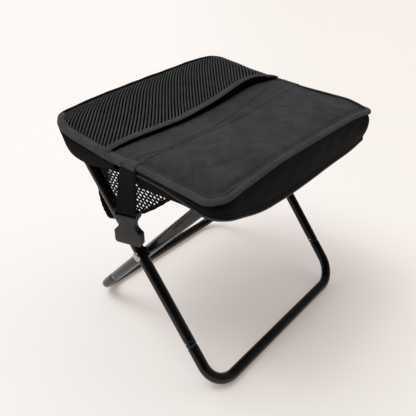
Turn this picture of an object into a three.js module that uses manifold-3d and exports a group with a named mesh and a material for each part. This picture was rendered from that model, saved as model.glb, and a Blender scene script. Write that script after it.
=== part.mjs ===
// Folding cooler stool. Two crossed tube frames turn on a rivet at each side and carry a fabric seat.
// The front half of the seat is a padded lid, zipped over a slung compartment. The rear half has a mesh
// pocket on top. A mesh storage bag hangs below, and a webbing strap with a buckle socket at each side.
// Millimetres, +X right along the bars, -Y to the front, +Z up, origin on the floor at the middle.
import * as THREE from "three";
import { mergeVertices } from "three/addons/utils/BufferGeometryUtils.js";
import Module from "manifold-3d";

const wasm = await Module();
wasm.setup();

// Running gap between touching pieces, and how far a cut runs past what it cuts
const TOUCH_GAP = 0.3;
const OVERRUN = 5;

// Tube frames
const TUBE_R = 8;
const TUBE_WALL = 1.2;
const TUBE_SIDES = 16;
const OUTER_LEG_X = 162;
const LEG_GAP = 2;
const LEAN = THREE.MathUtils.degToRad(40.9);
const PIVOT_TO_TOP = 173.8;
const PIVOT_TO_FOOT = 215.3;
const PIVOT_TO_JOINT = 143.7;
const TOP_BEND_R = 30;
const FOOT_BEND_R = 38;
const BEND_STEPS = 6;
const SPIGOT_LENGTH = 28;
const SPIGOT_CLEARANCE = 0.4;

// Pivot rivets and washers
const RIVET_R = 3;
const RIVET_CLEARANCE = 0.2;
const RIVET_HEAD_R = 7;
const RIVET_HEAD_HEIGHT = 3.2;
const RIVET_TAIL_R = 5;
const RIVET_TAIL_HEIGHT = 2;
const WASHER_R = 7;
const ROUND_SIDES = 24;

// Seat outline and surface
const SEAT_OVERHANG = 10;
const SEAT_FRONT = 141;
const SEAT_REAR = 178;
const FRONT_LEFT_R = 28;
const FRONT_RIGHT_R = 13;
const REAR_R = 34;
const MIDDLE_HALF_GAP = 15;
const SEAT_RISE = 40;
const SEAT_SAG = 16;
const EDGE_PUFF = 3.5;
const EDGE_PUFF_WIDTH = 18;

// Grids of the seat's layers, and steps round the hoops of its edges
const LID_COLUMNS = 12;
const LID_ROWS = 5;
const REAR_COLUMNS = 14;
const REAR_ROWS = 5;
const BAND_COLUMNS = 10;
const FLOOR_COLUMNS = 4;
const FLOOR_ROWS = 3;
const FOAM_FIRST_COLUMN = 2;
const LID_HOOP_STEPS = { straight: 4, corner: 5, bar: 8 };
const REAR_HOOP_STEPS = { straight: 7, corner: 5, bar: 6 };

// Seat edge heights: share of the way along the edge, and share of the rise above the bars
const leftEdgeShares = [
  [0, 0.05], [0.08, 0.15], [0.28, 0.2], [0.39, 0.22], [0.54, 0.1], [0.82, 0.27], [0.9, 0.39], [1, 0.32],
];
const rightEdgeShares = [
  [0, 0.43], [0.1, 0.66], [0.39, 0.68], [0.6, 0.77], [0.7, 0.83], [0.81, 0.94], [0.91, 0.99], [1, 0.87],
];
const frontEdgeShares = [
  [0, 0.05], [0.075, 0.41], [0.17, 0.48], [0.31, 0.61], [0.64, 0.63], [0.84, 0.61], [1, 0.43],
];
const rearEdgeShares = [
  [0, 0.32], [0.1, 0.37], [0.15, 0.44], [0.28, 0.56], [0.46, 0.68], [0.65, 0.78], [0.86, 0.89], [1, 0.87],
];

// Lid layers, and how far they stay above the bar
const LID_THICKNESS = 9;
const COVER_THICKNESS = 2.5;
const LINER_THICKNESS = 1;
const BAR_CLEARANCE = 0.8;
const BAR_TENT_SLOPE = 0.5;
const FOAM_MARGIN = 6;

// Edge bindings and walls
const BINDING_WIDTH = 1.4;
const BINDING_DEPTH = 3.2;
const BINDING_RISE = 1.8;
const WALL_THICKNESS = 1.2;
const MIN_WALL_HEIGHT = 1.5;
const WALL_BELOW_BAR = 21.5;

// Rear wall's lower edge: share of the way from the middle to the rear, share of its depth below the bar
const rearWallShares = [
  [0, -0.4], [0.03, -0.3], [0.1, 0.33], [0.3, 0.84], [0.47, 1], [0.6, 0.95], [0.69, 0.7], [0.74, 0.1],
  [0.78, -0.35], [1, -0.35],
];

// Zipper round the lid: share of the way round from the left, and share of its depth below the bar
const ZIPPER_DEPTH = 32;
const CHAIN_HALF_WIDTH = 2;
const zipperShares = [
  [0, -0.2], [0.07, -0.1], [0.12, 0.05], [0.17, 0.16], [0.25, 0.44], [0.33, 0.91], [0.44, 1], [0.52, 0.97],
  [0.63, 0.86], [0.71, 0.87], [0.79, 0.6], [0.84, 0.72], [0.96, -0.25], [1, -0.5],
];
const SLIDER_LENGTH = 10;
const SLIDER_WIDTH = 6;
const SLIDER_THICKNESS = 2.6;
const SLIDER_FROM_MIDDLE = 52;
const PULL_LENGTH = 16;
const PULL_WIDTH = 4.5;
const PULL_THICKNESS = 1.2;

// Slung floors and the sleeves round the bars
const SLEEVE_CLEARANCE = 0.5;
const SLEEVE_THICKNESS = 1.1;
const SLEEVE_END_MARGIN = 4;
const FLOOR_THICKNESS = 5;
const FLOOR_INSET = 6;
const FLOOR_HALF_GAP = 31;
const FLOOR_SAG = 11.5;
const FLOOR_WIDE_BELOW = 84;
const FLOOR_NARROW_ABOVE = 96;
const BAND_THICKNESS = 1.6;
const SKIRT_FRONT_REACH = 18.5;
const SKIRT_CORNER_REACH = 11.5;
const SKIRT_FRONT_BELOW_BAR = 9;
const SKIRT_CORNER_BELOW_BAR = 12;
const SKIRT_FLOOR_DROP = 4;
const SKIRT_BELOW_CHAIN = 1.6;

// Rear panel and mesh pocket
const PANEL_THICKNESS = 3;
const MESH_THICKNESS = 1.2;
const POCKET_RISE = 11;
const POCKET_MOUTH_LEFT = 33;
const POCKET_MOUTH_RIGHT = 47;
const POCKET_BINDING_WIDTH = 5;
const POCKET_BINDING_THICKNESS = 2.2;
const POCKET_CLEARANCE = 0.6;
const pocketBowShares = [[0, 0], [0.35, 0.08], [0.6, 0.6], [0.75, 1], [0.9, 0.95], [1, 0]];

// Side straps and buckle sockets
const STRAP_WIDTH = 28;
const STRAP_THICKNESS = 1.8;
const STRAP_Y = -2.4;
const STRAP_DROP = 54;
const STRAP_TURN = THREE.MathUtils.degToRad(20);
const STRAP_STEPS = 6;
const LOOP_R = 3.7;
const LOOP_TURN = THREE.MathUtils.degToRad(265);
const LOOP_STEPS = 11;
const BUCKLE_STANDOFF = 13.5;
const BUCKLE_Y = -9;
const BUCKLE_THICKNESS = 10;
const BUCKLE_HEAD_HALF = 16.5;
const BUCKLE_WAIST_HALF = 10.5;
const BUCKLE_MOUTH_HALF = 18.5;
const BUCKLE_CHEEK_CLEARANCE = 0.4;
const BUCKLE_BAR = 3.4;
const BUCKLE_WAIST_DOWN = 18;
const BUCKLE_SHOULDER_DOWN = 29;
const BUCKLE_LENGTH = 47;
const BUCKLE_CHAMFER = 2.5;
const BUCKLE_CAVITY_HALF = 15.5;
const BUCKLE_CAVITY_THICKNESS = 6.4;
const BUCKLE_CAVITY_END_DOWN = 25;
const BUCKLE_ARC_STEPS = 6;

// Storage bag: profile points as distance behind the pivot, and height above it or drop below the seam
const BAG_LEG_GAP = 8;
const BAG_WALL = 1.2;
const BAG_FRONT_TOP = 55;
const BAG_FRONT_FOLD = { y: -41, drop: 17 };
const BAG_FRONT_SLOPE = { y: 8, up: 58 };
const BAG_BOTTOM = { y: 77, up: 17 };
const BAG_LUMP = { y: 93, up: 20 };
const BAG_REAR_FOLD = { y: 102, up: 42 };
const BAG_REAR_RIM = { y: 104, up: 82 };
const BAG_TOP_STEPS = 6;
const BAG_SEAM_DROP = 1;
const BAG_BINDING_HEIGHT = 4;
const BAG_BINDING_THICKNESS = 2.4;

// Derived places
const INNER_LEG_X = OUTER_LEG_X - 2 * TUBE_R - LEG_GAP;
const SEAT_HALF_WIDTH = OUTER_LEG_X + SEAT_OVERHANG;
const FLOOR_HALF_WIDTH = SEAT_HALF_WIDTH - FLOOR_INSET;
const BUCKLE_OUT = SEAT_HALF_WIDTH + BUCKLE_STANDOFF;
const BAG_HALF_WIDTH = OUTER_LEG_X - TUBE_R - BAG_LEG_GAP;
const PIVOT_Z = PIVOT_TO_FOOT * Math.cos(LEAN) + TUBE_R * Math.cos(Math.PI / TUBE_SIDES);
const BAR_Y = PIVOT_TO_TOP * Math.sin(LEAN);
const BAR_Z = PIVOT_Z + PIVOT_TO_TOP * Math.cos(LEAN);
const SLEEVE_R = TUBE_R + SLEEVE_CLEARANCE + SLEEVE_THICKNESS;
const LAYER_INSET = BINDING_WIDTH + TOUCH_GAP;
const BAND_EDGE_Y = MIDDLE_HALF_GAP - TOUCH_GAP;
const SLEEVE_SIDE_Y = BAR_Y - SLEEVE_R - TOUCH_GAP;

// Materials
const coated = { roughness: 0.22, metalness: 0.4 };
const cloth = { roughness: 0.9, metalness: 0 };
const materials = {
  frame: new THREE.MeshStandardMaterial({ color: 0x0f0f11, ...coated }),
  rivet: new THREE.MeshStandardMaterial({ color: 0xb9b9b6, roughness: 0.3, metalness: 1 }),
  washer: new THREE.MeshStandardMaterial({ color: 0x1d1d1f, roughness: 0.6, metalness: 0 }),
  fabric: new THREE.MeshStandardMaterial({ color: 0x2c2b2b, ...cloth }),
  wall: new THREE.MeshStandardMaterial({ color: 0x1c1b1b, ...cloth }),
  binding: new THREE.MeshStandardMaterial({ color: 0x181717, ...cloth }),
  liner: new THREE.MeshStandardMaterial({ color: 0xb7babd, roughness: 0.35, metalness: 0.2 }),
  foam: new THREE.MeshStandardMaterial({ color: 0xd9d9d4, ...cloth }),
  mesh: new THREE.MeshStandardMaterial({ color: 0x222121, ...cloth }),
  zipper: new THREE.MeshStandardMaterial({ color: 0x111112, roughness: 0.5, metalness: 0 }),
  slider: new THREE.MeshStandardMaterial({ color: 0x2a2a2c, roughness: 0.35, metalness: 0.7 }),
  webbing: new THREE.MeshStandardMaterial({ color: 0x262425, ...cloth }),
  buckle: new THREE.MeshStandardMaterial({ color: 0x3a3a3c, roughness: 0.45, metalness: 0 }),
};

// Reads a table of pairs at a share of its length, easing between neighbours
function readShares(table, share) {
  const after = Math.max(table.findIndex(([at]) => at >= share), 1);
  const [fromAt, fromValue] = table[after - 1];
  const [toAt, toValue] = table[after];
  const eased = THREE.MathUtils.smoothstep(share, fromAt, toAt);
  return THREE.MathUtils.lerp(fromValue, toValue, eased);
}

// Keeps only welded positions and turns the faces outward
function closedBody(source) {
  const bare = source.clone();
  bare.deleteAttribute("normal");
  bare.deleteAttribute("uv");
  const body = mergeVertices(bare);
  const position = body.attributes.position;
  const index = body.index.array;
  const [a, b, c] = [new THREE.Vector3(), new THREE.Vector3(), new THREE.Vector3()];
  let volume = 0;
  for (let i = 0; i < index.length; i += 3) {
    a.fromBufferAttribute(position, index[i]);
    b.fromBufferAttribute(position, index[i + 1]);
    c.fromBufferAttribute(position, index[i + 2]);
    volume += a.dot(b.cross(c));
  }
  if (volume < 0) {
    for (let i = 0; i < index.length; i += 3) {
      [index[i], index[i + 1]] = [index[i + 1], index[i]];
    }
  }
  body.computeVertexNormals();
  return body;
}

// Geometry to boolean solid, and back
function toSolid(geometry) {
  const body = closedBody(geometry);
  const mesh = new wasm.Mesh({
    numProp: 3,
    vertProperties: new Float32Array(body.attributes.position.array),
    triVerts: new Uint32Array(body.index.array),
  });
  return new wasm.Manifold(mesh);
}

function toGeometry(solid) {
  const mesh = solid.getMesh();
  const geometry = new THREE.BufferGeometry();
  geometry.setAttribute("position", new THREE.BufferAttribute(mesh.vertProperties, 3));
  geometry.setIndex(new THREE.BufferAttribute(mesh.triVerts, 1));
  return closedBody(geometry);
}

// Mirrors a geometry left to right
function mirrored(geometry) {
  return closedBody(geometry.clone().scale(-1, 1, 1));
}

// Box, with its corner places given, as low and high points
function boxBetween(low, high) {
  const size = high.map((value, i) => value - low[i]);
  const middle = high.map((value, i) => (value + low[i]) / 2);
  return new THREE.BoxGeometry(...size).translate(...middle);
}

// Ring or pin round the X axis from a closed profile of [radius, place along X]
function turnedOnX(profile) {
  const points = profile.map(([radius, along]) => new THREE.Vector2(radius, along));
  return closedBody(new THREE.LatheGeometry(points, ROUND_SIDES).rotateZ(-Math.PI / 2));
}

// Path through stations in one plane, each with its own place and direction
class StationPath extends THREE.Curve {
  constructor(stations, binormal) {
    super();
    this.stations = stations;
    this.binormal = binormal;
  }
  getPoint(share, target = new THREE.Vector3()) {
    return target.copy(this.stations[Math.round(share * (this.stations.length - 1))].point);
  }
  getPointAt(share, target) {
    return this.getPoint(share, target);
  }
  computeFrenetFrames() {
    const tangents = this.stations.map((station) => station.tangent);
    const normals = tangents.map((tangent) => this.binormal.clone().cross(tangent));
    const binormals = tangents.map(() => this.binormal.clone());
    return { tangents, normals, binormals };
  }
}

// Stations of a U in the XZ plane: up one leg, round a bend, along the bar, round a bend, down the other leg
function uStations(halfWidth, legEnd, bar, bendR, side) {
  const stations = [];
  const add = (x, z, tx, tz) => {
    stations.push({ point: new THREE.Vector3(x, 0, z), tangent: new THREE.Vector3(tx, 0, tz) });
  };
  add(side * halfWidth, legEnd, 0, side);
  for (let step = 0; step <= BEND_STEPS; step += 1) {
    const turn = (step / BEND_STEPS) * (Math.PI / 2);
    const x = side * (halfWidth - bendR + bendR * Math.cos(turn));
    const z = bar - side * bendR * (1 - Math.sin(turn));
    add(x, z, -side * Math.sin(turn), side * Math.cos(turn));
  }
  for (let step = 0; step <= BEND_STEPS; step += 1) {
    const turn = (step / BEND_STEPS) * (Math.PI / 2);
    const x = -side * (halfWidth - bendR + bendR * Math.sin(turn));
    const z = bar - side * bendR * (1 - Math.cos(turn));
    add(x, z, -side * Math.cos(turn), -side * Math.sin(turn));
  }
  add(-side * halfWidth, legEnd, 0, -side);
  return stations;
}

// Many-sided rod along a U, turned so that one flat of the foot bar faces the floor
function sweptU(radius, halfWidth, legEnd, bar, bendR, side) {
  const corners = [];
  for (let k = 0; k < TUBE_SIDES; k += 1) {
    const angle = LEAN + ((k + 0.5) * 2 * Math.PI) / TUBE_SIDES;
    corners.push(new THREE.Vector2(radius * Math.cos(angle), radius * Math.sin(angle)));
  }
  const stations = uStations(halfWidth, legEnd, bar, bendR, side);
  const path = new StationPath(stations, new THREE.Vector3(0, 1, 0));
  const settings = { steps: stations.length - 1, extrudePath: path, bevelEnabled: false };
  return toSolid(new THREE.ExtrudeGeometry(new THREE.Shape(corners), settings));
}

// Rivet holes through both legs of a frame
function drillPivot(frame, halfWidth) {
  const radius = RIVET_R + RIVET_CLEARANCE;
  const length = 2 * (halfWidth + TUBE_R + OVERRUN);
  const drill = new THREE.CylinderGeometry(radius, radius, length, ROUND_SIDES).rotateZ(Math.PI / 2);
  return frame.subtract(toSolid(drill));
}

// Upper tube: two legs and the top bar, hollow
function upperTube(halfWidth) {
  const end = -PIVOT_TO_JOINT;
  const outside = sweptU(TUBE_R, halfWidth, end, PIVOT_TO_TOP, TOP_BEND_R, 1);
  const bore = sweptU(TUBE_R - TUBE_WALL, halfWidth, end - OVERRUN, PIVOT_TO_TOP, TOP_BEND_R, 1);
  return toGeometry(drillPivot(outside.subtract(bore), halfWidth));
}

// Foot tube: two lower legs and the foot bar, with necked spigots that go up inside the upper tube
function footTube(halfWidth) {
  const spigotR = TUBE_R - TUBE_WALL - SPIGOT_CLEARANCE;
  const shoulder = -PIVOT_TO_JOINT - TOUCH_GAP;
  const top = -PIVOT_TO_JOINT + SPIGOT_LENGTH;
  const outside = sweptU(TUBE_R, halfWidth, shoulder, -PIVOT_TO_FOOT, FOOT_BEND_R, -1);
  const spigots = sweptU(spigotR, halfWidth, top, -PIVOT_TO_FOOT, FOOT_BEND_R, -1);
  const bore = sweptU(spigotR - TUBE_WALL, halfWidth, top + OVERRUN, -PIVOT_TO_FOOT, FOOT_BEND_R, -1);
  return toGeometry(outside.add(spigots).subtract(bore));
}

// Rivet: domed head outside, shank through both legs, upset tail inside
function pivotRivet() {
  const headFace = OUTER_LEG_X + TUBE_R + TOUCH_GAP;
  const tailFace = INNER_LEG_X - TUBE_R - TOUCH_GAP;
  const profile = [];
  for (let step = 0; step <= BEND_STEPS; step += 1) {
    const turn = (step / BEND_STEPS) * (Math.PI / 2);
    profile.push([RIVET_HEAD_R * Math.sin(turn), headFace + RIVET_HEAD_HEIGHT * Math.cos(turn)]);
  }
  profile.push([RIVET_R, headFace]);
  profile.push([RIVET_R, tailFace]);
  profile.push([RIVET_TAIL_R, tailFace]);
  profile.push([RIVET_TAIL_R, tailFace - RIVET_TAIL_HEIGHT]);
  profile.push([0, tailFace - RIVET_TAIL_HEIGHT]);
  return turnedOnX(profile);
}

// Washer between the legs
function pivotWasher() {
  const inside = INNER_LEG_X + TUBE_R + TOUCH_GAP;
  const outside = OUTER_LEG_X - TUBE_R - TOUCH_GAP;
  const bore = RIVET_R + RIVET_CLEARANCE;
  const profile = [[bore, inside], [WASHER_R, inside], [WASHER_R, outside], [bore, outside], [bore, inside]];
  return turnedOnX(profile);
}

// Height of the seat's upper face over the floor
function seatTop(x, y) {
  const u = THREE.MathUtils.clamp((x + SEAT_HALF_WIDTH) / (2 * SEAT_HALF_WIDTH), 0, 1);
  const v = THREE.MathUtils.clamp((y + SEAT_FRONT) / (SEAT_FRONT + SEAT_REAR), 0, 1);
  const alongY = THREE.MathUtils.lerp(readShares(frontEdgeShares, u), readShares(rearEdgeShares, u), v);
  const alongX = THREE.MathUtils.lerp(readShares(leftEdgeShares, v), readShares(rightEdgeShares, v), u);
  const front = THREE.MathUtils.lerp(readShares(frontEdgeShares, 0), readShares(frontEdgeShares, 1), u);
  const rear = THREE.MathUtils.lerp(readShares(rearEdgeShares, 0), readShares(rearEdgeShares, 1), u);
  const rise = SEAT_RISE * (alongY + alongX - THREE.MathUtils.lerp(front, rear, v));
  const sag = SEAT_SAG * Math.sin(Math.PI * u) * Math.sin(Math.PI * v);
  const fromEdge = Math.min(SEAT_HALF_WIDTH - Math.abs(x), y + SEAT_FRONT, SEAT_REAR - y);
  const puff = EDGE_PUFF * (1 - (1 - THREE.MathUtils.clamp(fromEdge / EDGE_PUFF_WIDTH, 0, 1)) ** 2);
  return BAR_Z + rise - sag + puff;
}

// Underside of the lid, which stays above the bar and its bends
function lidUnderside(x, y) {
  const pastTube = Math.max(Math.abs(y + BAR_Y) - TUBE_R, 0);
  const tent = BAR_Z + TUBE_R + BAR_CLEARANCE - BAR_TENT_SLOPE * pastTube;
  return Math.max(seatTop(x, y) - LID_THICKNESS, tent);
}

// Upper face of the slung floors, the same before and behind the middle
function floorTop(y) {
  const outward = (Math.abs(y) - MIDDLE_HALF_GAP) / (SLEEVE_SIDE_Y - MIDDLE_HALF_GAP);
  return BAR_Z - FLOOR_SAG * (1 - THREE.MathUtils.clamp(outward, 0, 1) ** 1.5);
}

// Solid mapped from a grid with a lower and an upper face, both split along the same diagonals
function mappedSolid(columns, rows, map) {
  const [across, along] = [columns.length, rows.length];
  const points = [];
  for (const w of [0, 1]) {
    for (const row of rows) {
      for (const column of columns) {
        points.push(...map(column, row, w));
      }
    }
  }
  const at = (i, j, w) => (w * along + j) * across + i;
  const faces = [];
  const quad = (a, b, c, d) => faces.push(a, b, c, a, c, d);
  for (let j = 0; j < along - 1; j += 1) {
    for (let i = 0; i < across - 1; i += 1) {
      quad(at(i, j, 1), at(i + 1, j, 1), at(i + 1, j + 1, 1), at(i, j + 1, 1));
      faces.push(at(i, j, 0), at(i + 1, j + 1, 0), at(i + 1, j, 0));
      faces.push(at(i, j, 0), at(i, j + 1, 0), at(i + 1, j + 1, 0));
    }
    quad(at(0, j, 0), at(0, j, 1), at(0, j + 1, 1), at(0, j + 1, 0));
    quad(at(across - 1, j, 0), at(across - 1, j + 1, 0), at(across - 1, j + 1, 1), at(across - 1, j, 1));
  }
  for (let i = 0; i < across - 1; i += 1) {
    quad(at(i, 0, 0), at(i + 1, 0, 0), at(i + 1, 0, 1), at(i, 0, 1));
    quad(at(i, along - 1, 0), at(i, along - 1, 1), at(i + 1, along - 1, 1), at(i + 1, along - 1, 0));
  }
  const grid = new THREE.BufferGeometry();
  grid.setAttribute("position", new THREE.Float32BufferAttribute(points, 3));
  grid.setIndex(faces);
  return closedBody(grid);
}

function evenShares(steps) {
  return Array.from({ length: steps + 1 }, (_, k) => k / steps);
}

// Distances from the middle line out to an edge, close together round its corner
function rowsToEdge(start, end, cornerR, straightSteps, cornerSteps) {
  const straightEnd = end - cornerR;
  const rows = evenShares(straightSteps).map((share) => THREE.MathUtils.lerp(start, straightEnd, share));
  for (let step = 1; step <= cornerSteps; step += 1) {
    rows.push(straightEnd + cornerR * Math.sin((step / cornerSteps) * (Math.PI / 2)));
  }
  return rows;
}

// How far a rounded corner draws the side in, at a distance from the middle line
function cornerDraw(distance, end, cornerR) {
  const into = Math.max(distance - (end - cornerR), 0);
  return cornerR - Math.sqrt(Math.max(cornerR ** 2 - into ** 2, 0));
}

// Place on the front half, from a share of the width and a distance before the middle line
function frontPlace(u, distance) {
  const end = SEAT_FRONT - LAYER_INSET;
  const half = SEAT_HALF_WIDTH - LAYER_INSET;
  const left = -half + cornerDraw(distance, end, FRONT_LEFT_R - LAYER_INSET);
  const right = half - cornerDraw(distance, end, FRONT_RIGHT_R - LAYER_INSET);
  return [THREE.MathUtils.lerp(left, right, u), -distance];
}

// Distance of the pocket's mouth behind the middle line
function pocketMouth(x) {
  const rightward = THREE.MathUtils.smoothstep(x, -SEAT_HALF_WIDTH, 0);
  return THREE.MathUtils.lerp(POCKET_MOUTH_LEFT, POCKET_MOUTH_RIGHT, rightward);
}

// Place on the rear half: rows near the pocket's mouth follow its curve
function rearPlace(u, distance) {
  const end = SEAT_REAR - LAYER_INSET;
  const half = SEAT_HALF_WIDTH - LAYER_INSET - cornerDraw(distance, end, REAR_R - LAYER_INSET);
  const x = THREE.MathUtils.lerp(-half, half, u);
  const before = (distance - MIDDLE_HALF_GAP) / (POCKET_MOUTH_LEFT - MIDDLE_HALF_GAP);
  const behind = ((end - distance) / (end - POCKET_MOUTH_LEFT)) ** 2;
  const follow = THREE.MathUtils.clamp(Math.min(before, behind), 0, 1);
  return [x, distance + (pocketMouth(x) - POCKET_MOUTH_LEFT) * follow];
}

// Layer over a grid of shares of the width and distances from the middle line
function layer(columns, rows, place, bottom, top) {
  return mappedSolid(columns, rows, (u, distance, w) => {
    const [x, y] = place(u, distance);
    return [x, y, THREE.MathUtils.lerp(bottom(x, y), top(x, y), w)];
  });
}

// Stations round the front or rear half of the outline, each a function of the inset, interior on the left
function outlineHoop(side, end, firstR, lastR, steps) {
  const stations = [];
  const half = SEAT_HALF_WIDTH;
  for (const share of evenShares(steps.straight)) {
    const y = THREE.MathUtils.lerp(MIDDLE_HALF_GAP, end - firstR, share);
    stations.push((inset) => [side * (half - inset), side * y]);
  }
  for (const share of evenShares(steps.corner).slice(1)) {
    const turn = share * (Math.PI / 2);
    stations.push((inset) => [
      side * (half - firstR + (firstR - inset) * Math.cos(turn)),
      side * (end - firstR + (firstR - inset) * Math.sin(turn)),
    ]);
  }
  for (const share of evenShares(steps.bar).slice(1)) {
    const x = THREE.MathUtils.lerp(half - firstR, lastR - half, share);
    stations.push((inset) => [side * x, side * (end - inset)]);
  }
  for (const share of evenShares(steps.corner).slice(1)) {
    const turn = share * (Math.PI / 2);
    stations.push((inset) => [
      -side * (half - lastR + (lastR - inset) * Math.sin(turn)),
      side * (end - lastR + (lastR - inset) * Math.cos(turn)),
    ]);
  }
  for (const share of evenShares(steps.straight).slice(1)) {
    const y = THREE.MathUtils.lerp(end - lastR, MIDDLE_HALF_GAP, share);
    stations.push((inset) => [-side * (half - inset), side * y]);
  }
  return withShares(stations);
}

// Adds to each station its share of the way round
function withShares(places) {
  const corners = places.map((place) => new THREE.Vector2(...place(0)));
  const lengths = [0];
  for (let k = 1; k < corners.length; k += 1) {
    lengths.push(lengths[k - 1] + corners[k].distanceTo(corners[k - 1]));
  }
  return places.map((place, k) => ({ place, share: lengths[k] / lengths[lengths.length - 1] }));
}

const frontHoop = outlineHoop(-1, SEAT_FRONT, FRONT_LEFT_R, FRONT_RIGHT_R, LID_HOOP_STEPS);
const rearHoop = outlineHoop(1, SEAT_REAR, REAR_R, REAR_R, REAR_HOOP_STEPS);

// Upright band round a hoop between two insets, with its lower and upper edge given by the station
function hoopBand(hoop, outerInset, innerInset, bottom, top) {
  return mappedSolid(evenShares(hoop.length - 1), [outerInset, innerInset], (u, inset, w) => {
    const station = hoop[Math.round(u * (hoop.length - 1))];
    const [x, y] = station.place(inset);
    return [x, y, THREE.MathUtils.lerp(bottom(station), top(station), w)];
  });
}

const edgeTop = (station) => seatTop(...station.place(0));

// Binding tape folded over the edge of a half
function edgeBinding(hoop) {
  const bottom = (station) => edgeTop(station) - BINDING_DEPTH;
  const top = (station) => edgeTop(station) + BINDING_RISE;
  return hoopBand(hoop, 0, BINDING_WIDTH, bottom, top);
}

const wallTop = (station) => edgeTop(station) - BINDING_DEPTH - TOUCH_GAP;

// Middle of the zipper, kept low enough to leave some wall above it
function zipperLine(station) {
  const drawn = BAR_Z - ZIPPER_DEPTH * readShares(zipperShares, station.share);
  return Math.min(drawn, wallTop(station) - MIN_WALL_HEIGHT - TOUCH_GAP - CHAIN_HALF_WIDTH);
}

function rearWallBottom(station) {
  const [, y] = station.place(0);
  const share = (y - MIDDLE_HALF_GAP) / (SEAT_REAR - MIDDLE_HALF_GAP);
  const drawn = BAR_Z - WALL_BELOW_BAR * readShares(rearWallShares, share);
  return Math.min(drawn, wallTop(station) - MIN_WALL_HEIGHT);
}

// Lid pieces
function lidPieces() {
  const end = SEAT_FRONT - LAYER_INSET;
  const rows = rowsToEdge(MIDDLE_HALF_GAP, end, FRONT_LEFT_R - LAYER_INSET, LID_ROWS, LID_HOOP_STEPS.corner);
  const columns = evenShares(LID_COLUMNS);
  const foamRows = [MIDDLE_HALF_GAP + FOAM_MARGIN, ...rows.slice(1, -2)];
  const foamColumns = columns.slice(FOAM_FIRST_COLUMN, -1);
  const foamBottom = (x, y) => lidUnderside(x, y) + LINER_THICKNESS + TOUCH_GAP;
  const coverBottom = (x, y) => seatTop(x, y) - COVER_THICKNESS;
  const foamTop = (x, y) => coverBottom(x, y) - TOUCH_GAP;
  const linerTop = (x, y) => lidUnderside(x, y) + LINER_THICKNESS;
  const gussetBottom = (station) => zipperLine(station) + CHAIN_HALF_WIDTH + TOUCH_GAP;
  return {
    lid_cover: [layer(columns, rows, frontPlace, coverBottom, seatTop), materials.fabric],
    lid_foam: [layer(foamColumns, foamRows, frontPlace, foamBottom, foamTop), materials.foam],
    lid_liner: [layer(foamColumns, foamRows, frontPlace, lidUnderside, linerTop), materials.liner],
    lid_binding: [edgeBinding(frontHoop), materials.binding],
    lid_gusset: [hoopBand(frontHoop, 0, WALL_THICKNESS, gussetBottom, wallTop), materials.wall],
  };
}

// Sleeve sewn round a top bar
function barSleeve(legX) {
  const half = legX - TOP_BEND_R - SLEEVE_END_MARGIN;
  const bore = TUBE_R + SLEEVE_CLEARANCE;
  return turnedOnX([[bore, -half], [SLEEVE_R, -half], [SLEEVE_R, half], [bore, half], [bore, -half]]);
}

// Half width of a slung floor: as wide as its sleeve at the bar, wider towards the middle
function floorHalf(legX, y) {
  const narrow = legX - TOP_BEND_R - SLEEVE_END_MARGIN;
  const share = THREE.MathUtils.clamp(
    (FLOOR_NARROW_ABOVE - Math.abs(y)) / (FLOOR_NARROW_ABOVE - FLOOR_WIDE_BELOW), 0, 1,
  );
  return THREE.MathUtils.lerp(narrow, FLOOR_HALF_WIDTH, share);
}

// Slung floor from the middle to the sleeve, on the front side when side is -1
function slungFloor(legX, side, bottomOffset, topOffset) {
  const wideRow = (share) => THREE.MathUtils.lerp(FLOOR_HALF_GAP, FLOOR_WIDE_BELOW, share);
  const rows = [...evenShares(FLOOR_ROWS).map(wideRow), FLOOR_NARROW_ABOVE, SLEEVE_SIDE_Y];
  const place = (u, distance) => [floorHalf(legX, distance) * (2 * u - 1), side * distance];
  const height = (offset) => (x, y) => floorTop(y) + offset;
  return layer(evenShares(FLOOR_COLUMNS), rows, place, height(bottomOffset), height(topOffset));
}

// Skirt: strip from the zipper in and across to the floor's edge, or up towards the front sleeve
function seatSkirt() {
  return mappedSolid(evenShares(frontHoop.length - 1), [0, 1], (u, v, w) => {
    const station = frontHoop[Math.round(u * (frontHoop.length - 1))];
    const [x, y] = station.place(0);
    const forward = THREE.MathUtils.smoothstep(-y, FLOOR_WIDE_BELOW, SEAT_FRONT - FOAM_MARGIN);
    const bendStart = INNER_LEG_X - TOP_BEND_R;
    const corner = THREE.MathUtils.smoothstep(Math.abs(x), bendStart, SEAT_HALF_WIDTH - FRONT_LEFT_R);
    const outerInset = 2 * WALL_THICKNESS + TOUCH_GAP;
    const outerZ = zipperLine(station) - CHAIN_HALF_WIDTH - SKIRT_BELOW_CHAIN;
    const sideInset = SEAT_HALF_WIDTH - FLOOR_HALF_WIDTH - TOUCH_GAP - WALL_THICKNESS;
    const reach = THREE.MathUtils.lerp(SKIRT_FRONT_REACH, SKIRT_CORNER_REACH, corner);
    const depth = THREE.MathUtils.lerp(SKIRT_FRONT_BELOW_BAR, SKIRT_CORNER_BELOW_BAR, corner);
    const innerInset = THREE.MathUtils.lerp(sideInset, reach, forward);
    const innerZ = THREE.MathUtils.lerp(floorTop(y) - SKIRT_FLOOR_DROP, BAR_Z - depth, forward);
    const along = new THREE.Vector2(innerInset - outerInset, innerZ - outerZ);
    const across = new THREE.Vector2(-along.y, along.x).setLength(WALL_THICKNESS);
    const inset = outerInset + v * along.x + w * across.x;
    return [...station.place(inset), outerZ + v * along.y + w * across.y];
  });
}

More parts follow.
